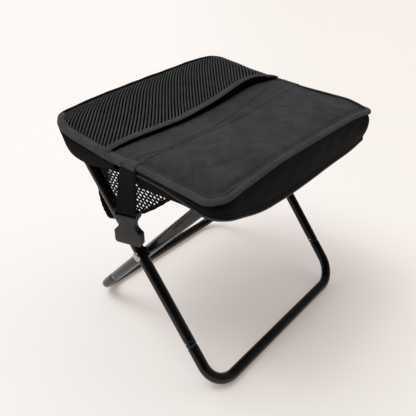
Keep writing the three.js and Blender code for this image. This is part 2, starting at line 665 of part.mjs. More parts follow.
// Front half: sleeve, floor, liner, skirt and zipper chain
function frontSeatPieces() {
  const floorLift = TOUCH_GAP + LINER_THICKNESS;
  const chainBottom = (station) => zipperLine(station) - CHAIN_HALF_WIDTH;
  const chainTop = (station) => zipperLine(station) + CHAIN_HALF_WIDTH;
  return {
    front_bar_sleeve: [barSleeve(INNER_LEG_X).translate(0, -BAR_Y, BAR_Z), materials.wall],
    cooler_floor: [slungFloor(INNER_LEG_X, -1, -FLOOR_THICKNESS - floorLift, -floorLift), materials.wall],
    floor_liner: [slungFloor(INNER_LEG_X, -1, -LINER_THICKNESS, 0), materials.liner],
    seat_skirt: [seatSkirt(), materials.wall],
    zipper_chain: [hoopBand(frontHoop, 0, WALL_THICKNESS, chainBottom, chainTop), materials.zipper],
  };
}

// How far the net stands off the panel
function pocketBow(x, y) {
  const across = readShares(pocketBowShares, (x + SEAT_HALF_WIDTH) / (2 * SEAT_HALF_WIDTH));
  const back = THREE.MathUtils.clamp((y - pocketMouth(x)) / (SEAT_REAR - REAR_R - pocketMouth(x)), 0, 1);
  return POCKET_RISE * across * (1 - back) ** 1.5;
}

// Underside of the net and of its binding
const pocketUnderside = (x, y) => seatTop(x, y) + POCKET_CLEARANCE + pocketBow(x, y);

// Rear half: sleeve, floor, panel, pocket, bindings and walls, and the two bands across the middle
function rearSeatPieces() {
  const columns = evenShares(REAR_COLUMNS);
  const end = SEAT_REAR - LAYER_INSET;
  const corner = REAR_R - LAYER_INSET;
  const pocketRows = rowsToEdge(POCKET_MOUTH_LEFT, end, corner, REAR_ROWS, REAR_HOOP_STEPS.corner);
  const bindingRows = [POCKET_MOUTH_LEFT - POCKET_BINDING_WIDTH, POCKET_MOUTH_LEFT - TOUCH_GAP];
  const panelRows = [MIDDLE_HALF_GAP, bindingRows[0], ...pocketRows];
  const panelBottom = (x, y) => seatTop(x, y) - PANEL_THICKNESS;
  const netTop = (x, y) => pocketUnderside(x, y) + MESH_THICKNESS;
  const bindingTop = (x, y) => pocketUnderside(x, y) + POCKET_BINDING_THICKNESS;
  const acrossMiddle = (columnCount, half, rows, bottom, top) => {
    const place = (u, y) => [half * (2 * u - 1), y];
    return layer(evenShares(columnCount), rows, place, bottom, top);
  };
  const floorBandEnd = FLOOR_HALF_GAP - TOUCH_GAP;
  const floorBandRows = [-floorBandEnd, -MIDDLE_HALF_GAP, MIDDLE_HALF_GAP, floorBandEnd];
  const centreBandRows = [-BAND_EDGE_Y, 0, BAND_EDGE_Y];
  const bandBottom = (x, y) => seatTop(x, y) - BAND_THICKNESS;
  const floorBandTop = (x, y) => floorTop(y);
  const floorBandBottom = (x, y) => floorTop(y) - BAND_THICKNESS;
  return {
    rear_bar_sleeve: [barSleeve(OUTER_LEG_X).translate(0, BAR_Y, BAR_Z), materials.wall],
    rear_floor: [slungFloor(OUTER_LEG_X, 1, -FLOOR_THICKNESS, 0), materials.wall],
    rear_panel: [layer(columns, panelRows, rearPlace, panelBottom, seatTop), materials.fabric],
    mesh_pocket: [layer(columns, pocketRows, rearPlace, pocketUnderside, netTop), materials.mesh],
    pocket_binding: [layer(columns, bindingRows, rearPlace, pocketUnderside, bindingTop), materials.binding],
    rear_binding: [edgeBinding(rearHoop), materials.binding],
    rear_gusset: [hoopBand(rearHoop, 0, WALL_THICKNESS, rearWallBottom, wallTop), materials.wall],
    centre_band: [
      acrossMiddle(BAND_COLUMNS, SEAT_HALF_WIDTH, centreBandRows, bandBottom, seatTop), materials.fabric,
    ],
    floor_band: [
      acrossMiddle(2, FLOOR_HALF_WIDTH, floorBandRows, floorBandBottom, floorBandTop), materials.wall,
    ],
  };
}

// Zipper slider and pull on the right side, lying along the slope of the zipper there
function sliderPieces() {
  const yOf = (station) => station.place(0)[1];
  const rightOfMiddle = (station) => station.place(0)[0] > 0;
  const behindCorner = (station) => yOf(station) > FRONT_RIGHT_R - SEAT_FRONT;
  const stretch = frontHoop.filter((station) => rightOfMiddle(station) && behindCorner(station));
  const after = stretch.findIndex((station) => yOf(station) > -SLIDER_FROM_MIDDLE);
  const [low, high] = [stretch[after - 1], stretch[after]];
  const [lowY, highY] = [yOf(low), yOf(high)];
  const slope = (zipperLine(high) - zipperLine(low)) / (highY - lowY);
  const z = zipperLine(low) + slope * (-SLIDER_FROM_MIDDLE - lowY);
  const face = SEAT_HALF_WIDTH + TOUCH_GAP;
  const slider = new THREE.Group();
  slider.position.set(face, -SLIDER_FROM_MIDDLE, z);
  slider.rotation.x = Math.atan(slope);
  const pullFace = SLIDER_THICKNESS + TOUCH_GAP;
  const body = new THREE.BoxGeometry(SLIDER_THICKNESS, SLIDER_LENGTH, SLIDER_WIDTH);
  const tab = new THREE.BoxGeometry(PULL_THICKNESS, PULL_WIDTH, PULL_LENGTH);
  body.translate(SLIDER_THICKNESS / 2, 0, 0);
  tab.translate(pullFace + PULL_THICKNESS / 2, 0, -PULL_LENGTH / 2);
  addPieces(slider, {
    zipper_slider: [closedBody(body), materials.slider],
    zipper_pull: [closedBody(tab), materials.slider],
  });
  return slider;
}

// Strap: webbing that turns as it hangs from its top edge at zero, then loops round the buckle's bar
function sideStrap() {
  const top = new THREE.Vector3(-(SEAT_HALF_WIDTH + TOUCH_GAP + STRAP_THICKNESS / 2), STRAP_Y, 0);
  const bar = new THREE.Vector3(-BUCKLE_OUT, BUCKLE_Y, -STRAP_DROP);
  const down = new THREE.Vector3(0, 0, -1);
  const outwardAt = (turn) => new THREE.Vector3(-Math.cos(turn), -Math.sin(turn), 0);
  const acrossAt = (turn) => new THREE.Vector3(Math.sin(turn), -Math.cos(turn), 0);
  const bottom = bar.clone().addScaledVector(outwardAt(STRAP_TURN), LOOP_R);
  const stations = [];
  for (const share of evenShares(STRAP_STEPS)) {
    const turn = STRAP_TURN * THREE.MathUtils.smoothstep(share, 0, 1);
    const tangent = bottom.clone().sub(top).normalize();
    stations.push({ point: top.clone().lerp(bottom, share), across: acrossAt(turn), tangent });
  }
  stations[STRAP_STEPS].tangent = down.clone();
  for (const share of evenShares(LOOP_STEPS).slice(1)) {
    const turn = LOOP_TURN * share;
    const outward = outwardAt(STRAP_TURN);
    const point = bar.clone()
      .addScaledVector(outward, LOOP_R * Math.cos(turn))
      .addScaledVector(down, LOOP_R * Math.sin(turn));
    const tangent = down.clone().multiplyScalar(Math.cos(turn)).addScaledVector(outward, -Math.sin(turn));
    stations.push({ point, across: acrossAt(STRAP_TURN), tangent });
  }
  return mappedSolid([-0.5, 0.5], evenShares(stations.length - 1), (u, v, w) => {
    const { point, across, tangent } = stations[Math.round(v * (stations.length - 1))];
    const inward = across.clone().cross(tangent).normalize();
    const place = point.clone().addScaledVector(across, u * STRAP_WIDTH);
    return place.addScaledVector(inward, (w - 0.5) * STRAP_THICKNESS).toArray();
  });
}

// Straps and sockets hang from the seat's edge, which is higher on the right
function sidePieces() {
  const hang = (geometry, side) => geometry.translate(0, 0, seatTop(side * SEAT_HALF_WIDTH, STRAP_Y));
  return {
    strap_left: [hang(sideStrap(), -1), materials.webbing],
    strap_right: [hang(mirrored(sideStrap()), 1), materials.webbing],
    buckle_left: [hang(buckleSocket(), -1), materials.buckle],
    buckle_right: [hang(mirrored(buckleSocket()), 1), materials.buckle],
  };
}

// Right half of the buckle socket's outline, from the head down to the mouth
function buckleOutline() {
  const slotEnd = -(LOOP_R + STRAP_THICKNESS / 2 + BUCKLE_CHEEK_CLEARANCE);
  const half = [[BUCKLE_HEAD_HALF, BUCKLE_BAR / 2], [BUCKLE_HEAD_HALF, slotEnd]];
  for (const share of evenShares(BUCKLE_ARC_STEPS).slice(1)) {
    const narrowing = Math.sin(share * (Math.PI / 2));
    const x = THREE.MathUtils.lerp(BUCKLE_HEAD_HALF, BUCKLE_WAIST_HALF, narrowing);
    half.push([x, THREE.MathUtils.lerp(slotEnd, -BUCKLE_WAIST_DOWN, share)]);
  }
  for (const share of evenShares(BUCKLE_ARC_STEPS).slice(1)) {
    const widening = 1 - Math.cos(share * (Math.PI / 2));
    const x = THREE.MathUtils.lerp(BUCKLE_WAIST_HALF, BUCKLE_MOUTH_HALF, widening);
    half.push([x, THREE.MathUtils.lerp(-BUCKLE_WAIST_DOWN, -BUCKLE_SHOULDER_DOWN, share)]);
  }
  half.push([BUCKLE_MOUTH_HALF, -BUCKLE_LENGTH + BUCKLE_CHAMFER]);
  half.push([BUCKLE_MOUTH_HALF - BUCKLE_CHAMFER, -BUCKLE_LENGTH]);
  const left = half.map(([x, y]) => [-x, y]).reverse();
  return new THREE.Shape([...half, ...left].map(([x, y]) => new THREE.Vector2(x, y)));
}

// Buckle socket: bar and cheeks for the strap, waist open at both sides, mouth facing down
function buckleSocket() {
  const slotEnd = -(LOOP_R + STRAP_THICKNESS / 2 + BUCKLE_CHEEK_CLEARANCE);
  const slotHalf = STRAP_WIDTH / 2 + BUCKLE_CHEEK_CLEARANCE;
  const depth = BUCKLE_THICKNESS;
  const plate = new THREE.ExtrudeGeometry(buckleOutline(), { depth, bevelEnabled: false })
    .translate(0, 0, -depth / 2)
    .rotateX(Math.PI / 2);
  const slot = boxBetween([-slotHalf, -depth, slotEnd], [slotHalf, depth, BUCKLE_BAR]);
  const bar = new THREE.BoxGeometry(2 * (slotHalf + TOUCH_GAP), BUCKLE_BAR, BUCKLE_BAR);
  const cavityY = BUCKLE_CAVITY_THICKNESS / 2;
  const cavity = boxBetween(
    [-BUCKLE_CAVITY_HALF, -cavityY, -BUCKLE_LENGTH - OVERRUN],
    [BUCKLE_CAVITY_HALF, cavityY, -BUCKLE_CAVITY_END_DOWN],
  );
  const solid = toSolid(plate).subtract(toSolid(slot)).add(toSolid(bar)).subtract(toSolid(cavity));
  const turned = toGeometry(solid).rotateZ(STRAP_TURN - Math.PI / 2);
  return turned.translate(-BUCKLE_OUT, BUCKLE_Y, -STRAP_DROP);
}

// Places of the bag's profile from the front top edge, down the slope and up the rear wall
function bagProfile() {
  const seamEnd = bagSeam().at(-1);
  const frontFold = new THREE.Vector2(BAG_FRONT_FOLD.y, seamEnd.y - BAG_FRONT_FOLD.drop);
  const folds = [BAG_FRONT_SLOPE, BAG_BOTTOM, BAG_LUMP, BAG_REAR_FOLD, BAG_REAR_RIM];
  return [seamEnd, frontFold, ...folds.map(({ y, up }) => new THREE.Vector2(y, PIVOT_Z + up))];
}

// Underside that the bag's end walls are sewn to, from rear to front
function bagSeam() {
  const rearEnd = BAG_REAR_RIM.y - FLOOR_THICKNESS;
  return evenShares(BAG_TOP_STEPS).map((share) => {
    const y = THREE.MathUtils.lerp(rearEnd, -BAG_FRONT_TOP, share);
    return new THREE.Vector2(y, floorTop(y) - FLOOR_THICKNESS - LINER_THICKNESS - TOUCH_GAP - BAG_SEAM_DROP);
  });
}

// Closed outline extruded along X between two sides
function extrudedAcross(points, halfWidth) {
  const settings = { depth: 2 * halfWidth, bevelEnabled: false };
  const across = new THREE.ExtrudeGeometry(new THREE.Shape(points), settings).translate(0, 0, -halfWidth);
  across.applyMatrix4(new THREE.Matrix4().makeBasis(
    new THREE.Vector3(0, 1, 0), new THREE.Vector3(0, 0, 1), new THREE.Vector3(1, 0, 0),
  ));
  return toSolid(across);
}

// Offsets the lower profile towards the inside by the bag's wall
function insideProfile(profile) {
  return profile.map((point, k) => {
    const before = profile[Math.max(k - 1, 0)];
    const after = profile[Math.min(k + 1, profile.length - 1)];
    const along = after.clone().sub(before).normalize();
    return point.clone().add(new THREE.Vector2(-along.y, along.x).multiplyScalar(BAG_WALL));
  });
}

// Storage bag: thin walls, open to the seat above and through the slot above the rear wall
function storageBag() {
  const lower = bagProfile();
  const outside = extrudedAcross([...lower, ...bagSeam().slice(0, -1)], BAG_HALF_WIDTH);
  const inside = insideProfile(lower);
  const rimZ = PIVOT_Z + BAG_REAR_RIM.up;
  const above = BAR_Z + OVERRUN;
  const behind = BAG_REAR_RIM.y + OVERRUN;
  const mouth = [
    new THREE.Vector2(inside.at(-1).x, rimZ),
    new THREE.Vector2(behind, rimZ),
    new THREE.Vector2(behind, above),
    new THREE.Vector2(inside[0].x, above),
  ];
  const hollow = extrudedAcross([...inside, ...mouth], BAG_HALF_WIDTH - BAG_WALL);
  return toGeometry(outside.subtract(hollow));
}

function bagBinding() {
  const bottom = PIVOT_Z + BAG_REAR_RIM.up + TOUCH_GAP;
  const back = BAG_REAR_RIM.y;
  const half = BAG_HALF_WIDTH - BAG_WALL - TOUCH_GAP;
  const front = back - BAG_BINDING_THICKNESS;
  return closedBody(boxBetween([-half, front, bottom], [half, back, bottom + BAG_BINDING_HEIGHT]));
}

// Adds named pieces to a group
function addPieces(group, pieces) {
  for (const [name, [geometry, material]] of Object.entries(pieces)) {
    const mesh = new THREE.Mesh(geometry, material);
    mesh.name = name;
    group.add(mesh);
  }
}

// Leaning frame: foot bar to the front and top bar to the rear, or the other way round when turned
function legFrame(name, legX, turned) {
  const lean = new THREE.Group();
  lean.rotation.x = -LEAN;
  addPieces(lean, {
    [`${name}_frame_upper`]: [upperTube(legX), materials.frame],
    [`${name}_frame_foot`]: [footTube(legX), materials.frame],
  });
  const frame = new THREE.Group();
  frame.position.z = PIVOT_Z;
  frame.rotation.z = turned ? Math.PI : 0;
  frame.add(lean);
  return frame;
}

function pivots() {
  const group = new THREE.Group();
  group.position.z = PIVOT_Z;
  addPieces(group, {
    pivot_rivet_left: [mirrored(pivotRivet()), materials.rivet],
    pivot_rivet_right: [pivotRivet(), materials.rivet],
    pivot_washer_left: [mirrored(pivotWasher()), materials.washer],
    pivot_washer_right: [pivotWasher(), materials.washer],
  });
  return group;
}

const stool = new THREE.Group();
stool.add(legFrame("outer", OUTER_LEG_X, false), legFrame("inner", INNER_LEG_X, true));
stool.add(pivots(), sliderPieces());
addPieces(stool, {
  ...frontSeatPieces(),
  ...lidPieces(),
  ...rearSeatPieces(),
  ...sidePieces(),
  storage_bag: [storageBag(), materials.mesh],
  bag_binding: [bagBinding(), materials.binding],
});

// The origin lies at the middle of the outline, so the whole stool moves back or forward to suit
const middle = new THREE.Box3().setFromObject(stool, true).getCenter(new THREE.Vector3());
stool.position.y = -middle.y;

export default stool;
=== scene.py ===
"""Folding cooler stool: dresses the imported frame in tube, cloth, net and webbing. In metres."""
import logging
import math
from dataclasses import dataclass
from enum import Enum
from functools import cache
from typing import Sequence

import bmesh
import bpy
import numpy as np
from bpy.types import Material, Node, NodeSocket, NodeTree, Object
from mathutils import Matrix, Vector, noise
from mathutils.bvhtree import BVHTree


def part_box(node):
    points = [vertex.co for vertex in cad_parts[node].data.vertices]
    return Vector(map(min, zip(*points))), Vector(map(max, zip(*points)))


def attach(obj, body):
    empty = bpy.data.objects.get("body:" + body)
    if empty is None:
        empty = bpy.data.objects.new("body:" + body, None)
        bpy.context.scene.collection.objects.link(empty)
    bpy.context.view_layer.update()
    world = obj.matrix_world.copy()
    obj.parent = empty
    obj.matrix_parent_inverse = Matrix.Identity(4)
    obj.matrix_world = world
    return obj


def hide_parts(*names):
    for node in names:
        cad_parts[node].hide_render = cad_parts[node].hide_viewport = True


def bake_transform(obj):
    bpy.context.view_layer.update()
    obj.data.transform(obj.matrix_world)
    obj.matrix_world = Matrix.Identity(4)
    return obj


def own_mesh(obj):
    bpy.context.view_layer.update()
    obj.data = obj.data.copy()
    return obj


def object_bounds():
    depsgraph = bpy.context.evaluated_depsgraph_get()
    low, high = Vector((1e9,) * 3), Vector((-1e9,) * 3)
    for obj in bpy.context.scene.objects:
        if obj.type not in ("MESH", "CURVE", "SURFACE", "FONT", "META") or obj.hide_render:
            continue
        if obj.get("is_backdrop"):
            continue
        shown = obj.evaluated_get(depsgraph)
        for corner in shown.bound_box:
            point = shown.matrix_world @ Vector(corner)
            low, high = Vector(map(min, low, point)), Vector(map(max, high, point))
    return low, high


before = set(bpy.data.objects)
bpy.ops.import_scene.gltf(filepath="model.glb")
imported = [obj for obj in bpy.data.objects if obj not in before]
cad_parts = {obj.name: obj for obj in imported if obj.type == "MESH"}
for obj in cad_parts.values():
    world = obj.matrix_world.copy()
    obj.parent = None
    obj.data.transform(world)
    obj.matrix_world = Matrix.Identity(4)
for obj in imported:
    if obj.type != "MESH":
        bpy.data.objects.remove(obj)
CAD_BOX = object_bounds()
LOG = logging.getLogger("stool")
Array = np.ndarray

# The pivots stand this far from the origin, and every place below is counted from the pivots
PIVOT_LOW, PIVOT_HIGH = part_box("pivot_rivet_left")
SHIFT = (PIVOT_LOW.y + PIVOT_HIGH.y) / 2


class Side(Enum):
    """Side of the stool, as the sign of X."""

    LEFT = -1
    RIGHT = 1


class Half(Enum):
    """Half of the seat, as the sign of Y."""

    FRONT = -1
    REAR = 1


@dataclass(frozen=True)
class StoolSizes:
    """Main sizes, in metres, counted from the pivots in Y and from the floor in Z."""

    tube_r: float = 0.0079
    outer_leg_x: float = 0.162
    inner_leg_x: float = 0.144
    lean: float = math.radians(40.9)
    pivot_to_top: float = 0.1738
    pivot_to_foot: float = 0.2153
    pivot_to_joint: float = 0.1437
    top_bend_r: float = 0.030
    foot_bend_r: float = 0.038
    seat_half: float = 0.172
    seat_front: float = 0.141
    seat_rear: float = 0.178
    front_left_r: float = 0.028
    front_right_r: float = 0.013
    rear_left_r: float = 0.05
    rear_right_r: float = 0.034
    middle: float = 0.015
    leg_r: float = 0.008
    sleeve_reach: float = 0.0099
    pocket_row: float = 0.033
    wall_drop: float = 0.0035
    zipper_gap: float = 0.0038
    zipper_drop: float = 0.032
    rear_wall_drop: float = 0.0215

    @property
    def pivot_z(self) -> float:
        """Height of the pivots."""
        return self.pivot_to_foot * math.cos(self.lean) + self.leg_r * math.cos(math.pi / 16)

    @property
    def bar_y(self) -> float:
        """Distance of each top bar from the pivots."""
        return self.pivot_to_top * math.sin(self.lean)

    @property
    def bar_z(self) -> float:
        """Height of the top bars."""
        return self.pivot_z + self.pivot_to_top * math.cos(self.lean)


SIZES = StoolSizes()


def read_shares(table: Sequence[Sequence[float]], share: Array) -> Array:
    """Reads a table of places and values at shares of its length, rounding its corners."""
    near = [np.clip(np.asarray(share, float) + shift, 0, 1) for shift in np.linspace(-0.04, 0.04, 9)]
    return np.mean([np.interp(place, *zip(*table)) for place in near], axis=0)


def eased_step(value: Array, low: float, high: float) -> Array:
    """Rises smoothly from 0 at low to 1 at high."""
    part = np.clip((np.asarray(value, float) - low) / (high - low), 0, 1)
    return part * part * (3 - 2 * part)


@dataclass(frozen=True)
class SeatShape:
    """Height of the seat's faces, from the heights of its four edges."""

    rise: float = 0.040
    sag: float = 0.016
    puff: float = 0.0035
    puff_width: float = 0.018
    lid_thickness: float = 0.009
    lid_over_bar: float = 0.0088
    floor_sag: float = 0.0115
    pocket_rise: float = 0.011
    left: tuple = ((0, 0.05), (0.08, 0.15), (0.28, 0.2), (0.39, 0.22), (0.54, 0.1), (0.82, 0.27),
                   (0.9, 0.39), (1, 0.32))
    right: tuple = ((0, 0.43), (0.1, 0.66), (0.39, 0.68), (0.6, 0.77), (0.7, 0.83), (0.81, 0.94),
                    (0.91, 0.99), (1, 0.87))
    front: tuple = ((0, 0.05), (0.075, 0.41), (0.17, 0.48), (0.31, 0.61), (0.64, 0.63), (0.84, 0.61),
                    (1, 0.43))
    rear: tuple = ((0, 0.32), (0.1, 0.37), (0.15, 0.44), (0.28, 0.56), (0.46, 0.68), (0.65, 0.78),
                   (0.86, 0.89), (1, 0.87))
    bow: tuple = ((0, 0), (0.1, 0.3), (0.35, 0.36), (0.6, 0.62), (0.75, 1), (0.88, 0.9), (1, 0))
    mouth: tuple = ((0, 0.047), (0.07, 0.043), (0.17, 0.043), (0.26, 0.041), (0.37, 0.04), (0.5, 0.043),
                    (0.67, 0.045), (0.8, 0.046), (0.86, 0.043), (0.92, 0.034), (1, 0.027))

    def share_across(self, x: Array) -> Array:
        """Shares of the seat's width at places across."""
        return (np.asarray(x, float) + SIZES.seat_half) / (2 * SIZES.seat_half)

    def top(self, x: Array, y: Array) -> Array:
        """Upper face of the seat.

        Args:
            x: Places across.
            y: Places along, counted from the pivots.

        Returns:
            Heights over the floor.
        """
        half, front_y, rear_y = SIZES.seat_half, SIZES.seat_front, SIZES.seat_rear
        x, y = np.asarray(x, float), np.asarray(y, float)
        u = np.clip(self.share_across(x), 0, 1)
        v = np.clip((y + front_y) / (front_y + rear_y), 0, 1)
        along_y = (1 - v) * read_shares(self.front, u) + v * read_shares(self.rear, u)
        along_x = (1 - u) * read_shares(self.left, v) + u * read_shares(self.right, v)
        front = (1 - u) * self.front[0][1] + u * self.front[-1][1]
        rear = (1 - u) * self.rear[0][1] + u * self.rear[-1][1]
        rise = self.rise * (along_y + along_x - ((1 - v) * front + v * rear))
        sag = self.sag * np.sin(np.pi * u) * np.sin(np.pi * v)
        from_edge = np.minimum(np.minimum(half - np.abs(x), y + front_y), rear_y - y)
        puff = self.puff * (1 - (1 - np.clip(from_edge / self.puff_width, 0, 1)) ** 2)
        return SIZES.bar_z + rise - sag + puff

    def lid_underside(self, x: Array, y: Array) -> Array:
        """Heights of the lid's underside, which stays above the bar."""
        tent = SIZES.bar_z + self.lid_over_bar - 0.5 * np.maximum(np.abs(y + SIZES.bar_y) - SIZES.leg_r, 0)
        return np.maximum(self.top(x, y) - self.lid_thickness, tent)

    def floor_top(self, y: Array) -> Array:
        """Heights of the slung floors' upper face at places along."""
        outward = (np.abs(y) - SIZES.middle) / (SIZES.bar_y - SIZES.sleeve_reach - SIZES.middle)
        return SIZES.bar_z - self.floor_sag * (1 - np.clip(outward, 0, 1) ** 1.5)

    def pocket_mouth(self, x: Array) -> Array:
        """Distances of the pocket's mouth behind the pivots at places across."""
        return read_shares(self.mouth, self.share_across(x))

    def pocket_bow(self, x: Array, y: Array) -> Array:
        """How far the net stands off the panel.

        Args:
            x: Places across.
            y: Places along.

        Returns:
            Distances upward.
        """
        mouth = self.pocket_mouth(x)
        across = read_shares(self.bow, self.share_across(x))
        reach = SIZES.seat_rear - SIZES.rear_right_r - mouth
        back = np.clip((np.asarray(y, float) - mouth) / reach, 0, 1)
        return self.pocket_rise * across * (1 - back) ** 1.5


SEAT = SeatShape()


@dataclass(frozen=True)
class Outline:
    """Edge of one half of the seat: down one side, along its end, and back up the other side."""

    half: Half
    end: float
    first_r: float
    last_r: float

    def stations(self, spacing: float = 0.003) -> tuple[Array, Array, Array]:
        """Places along the edge.

        Args:
            spacing: Distance between neighbours.

        Returns:
            Base places (n, 2), inward directions (n, 2) and shares of the way round (n).
        """
        side, wide = self.half.value, SIZES.seat_half
        base, inward = [], []

        def straight(start: tuple, stop: tuple, direction: tuple) -> None:
            """Adds a straight run.

            Args:
                start: Its first place.
                stop: Its last place.
                direction: Direction inward.
            """
            steps = max(int(math.dist(start, stop) / spacing), 2)
            for k in range(steps):
                part = k / steps
                base.append([a + (b - a) * part for a, b in zip(start, stop)])
                inward.append(direction)

        def corner(centre: tuple, radius: float, first: float) -> None:
            """Adds a quarter turn.

            Args:
                centre: Centre of the turn.
                radius: Its radius.
                first: Angle at which it starts.
            """
            steps = max(int(radius * math.pi / 2 / spacing), 5)
            for k in range(steps):
                angle = first + math.pi / 2 * k / steps
                away = (math.cos(angle), math.sin(angle))
                base.append([centre[0] + radius * side * away[0], centre[1] + radius * side * away[1]])
                inward.append((-side * away[0], -side * away[1]))

        a, b = self.first_r, self.last_r
        straight((side * wide, side * SIZES.middle), (side * wide, side * (self.end - a)), (-side, 0))
        corner((side * (wide - a), side * (self.end - a)), a, 0)
        straight((side * (wide - a), side * self.end), (-side * (wide - b), side * self.end), (0, -side))
        corner((-side * (wide - b), side * (self.end - b)), b, math.pi / 2)
        straight((-side * wide, side * (self.end - b)), (-side * wide, side * SIZES.middle), (side, 0))
        base.append([-side * wide, side * SIZES.middle])
        inward.append((side, 0))
        base, inward = np.array(base, float), np.array(inward, float)
        steps = np.linalg.norm(np.diff(base, axis=0), axis=1)
        along = np.concatenate([[0], np.cumsum(steps)])
        return base, inward, along / along[-1]


# Height at which the front wall is split into its upper and lower pieces
FOLD_Z = 0.3095
WALL_THICKNESS = 0.0012
FRONT_EDGE = Outline(Half.FRONT, SIZES.seat_front, SIZES.front_left_r, SIZES.front_right_r)
REAR_EDGE = Outline(Half.REAR, SIZES.seat_rear, SIZES.rear_right_r, SIZES.rear_left_r)
ZIPPER_SHARES = ((0, -0.2), (0.07, -0.1), (0.12, 0.05), (0.17, 0.16), (0.25, 0.44), (0.33, 0.91),
                 (0.44, 1), (0.52, 0.97), (0.63, 0.86), (0.71, 0.87), (0.79, 0.6), (0.84, 0.72),
                 (0.96, -0.25), (1, -0.5))
REAR_WALL_SHARES = ((0, -0.4), (0.03, -0.3), (0.1, 0.33), (0.3, 0.84), (0.47, 1), (0.6, 0.95),
                    (0.69, 0.7), (0.74, 0.1), (0.78, -0.35), (1, -0.35))


def wall_top(base: Array) -> Array:
    """Heights of the walls' upper edge, under the bindings, at places on the seat's edge (n, 2)."""
    return SEAT.top(base[:, 0], base[:, 1]) - SIZES.wall_drop


def zipper_line(base: Array, share: Array) -> Array:
    """Heights of the zipper's middle at places on the seat's edge and their shares of the way round."""
    drawn = SIZES.bar_z - SIZES.zipper_drop * read_shares(ZIPPER_SHARES, share)
    return np.minimum(drawn, wall_top(base) - SIZES.zipper_gap)


def corner_draw(distance: Array, end: float, radius: float) -> Array:
    """How far a rounded corner draws the side in, at distances from the middle line."""
    into = np.maximum(distance - (end - radius), 0)
    return radius - np.sqrt(np.maximum(radius**2 - into**2, 0))


def seat_rows(start: float, end: float, radius: float, straight: int, corner: int) -> Array:
    """Distances from the middle line out to an edge, in so many steps straight and round its corner."""
    turn = np.linspace(0, math.pi / 2, corner + 1)[1:]
    return np.r_[np.linspace(start, end - radius, straight + 1), end - radius + radius * np.sin(turn)]


def front_place(u: Array, distance: Array, inset: float) -> tuple[Array, Array]:
    """Places on the front half.

    Args:
        u: Shares of the width.
        distance: Distances before the middle line.
        inset: How far the outline is drawn in.

    Returns:
        Places across and along.
    """
    end, half = SIZES.seat_front - inset, SIZES.seat_half - inset
    left = -half + corner_draw(distance, end, SIZES.front_left_r - inset)
    right = half - corner_draw(distance, end, SIZES.front_right_r - inset)
    return left + (right - left) * u, -distance + 0 * u


def rear_place(u: Array, distance: Array, inset: float) -> tuple[Array, Array]:
    """Places on the rear half, where rows near the pocket's mouth follow its curve.

    Args:
        u: Shares of the width.
        distance: Distances behind the middle line.
        inset: How far the outline is drawn in.

    Returns:
        Places across and along.
    """
    end = SIZES.seat_rear - inset
    left = inset - SIZES.seat_half + corner_draw(distance, end, SIZES.rear_left_r - inset)
    right = SIZES.seat_half - inset - corner_draw(distance, end, SIZES.rear_right_r - inset)
    x = left + (right - left) * u
    before = (distance - SIZES.middle) / (SIZES.pocket_row - SIZES.middle)
    behind = ((end - distance) / (end - SIZES.pocket_row)) ** 2
    follow = np.clip(np.minimum(before, behind), 0, 1)
    return x, distance + (SEAT.pocket_mouth(x) - SIZES.pocket_row) * follow


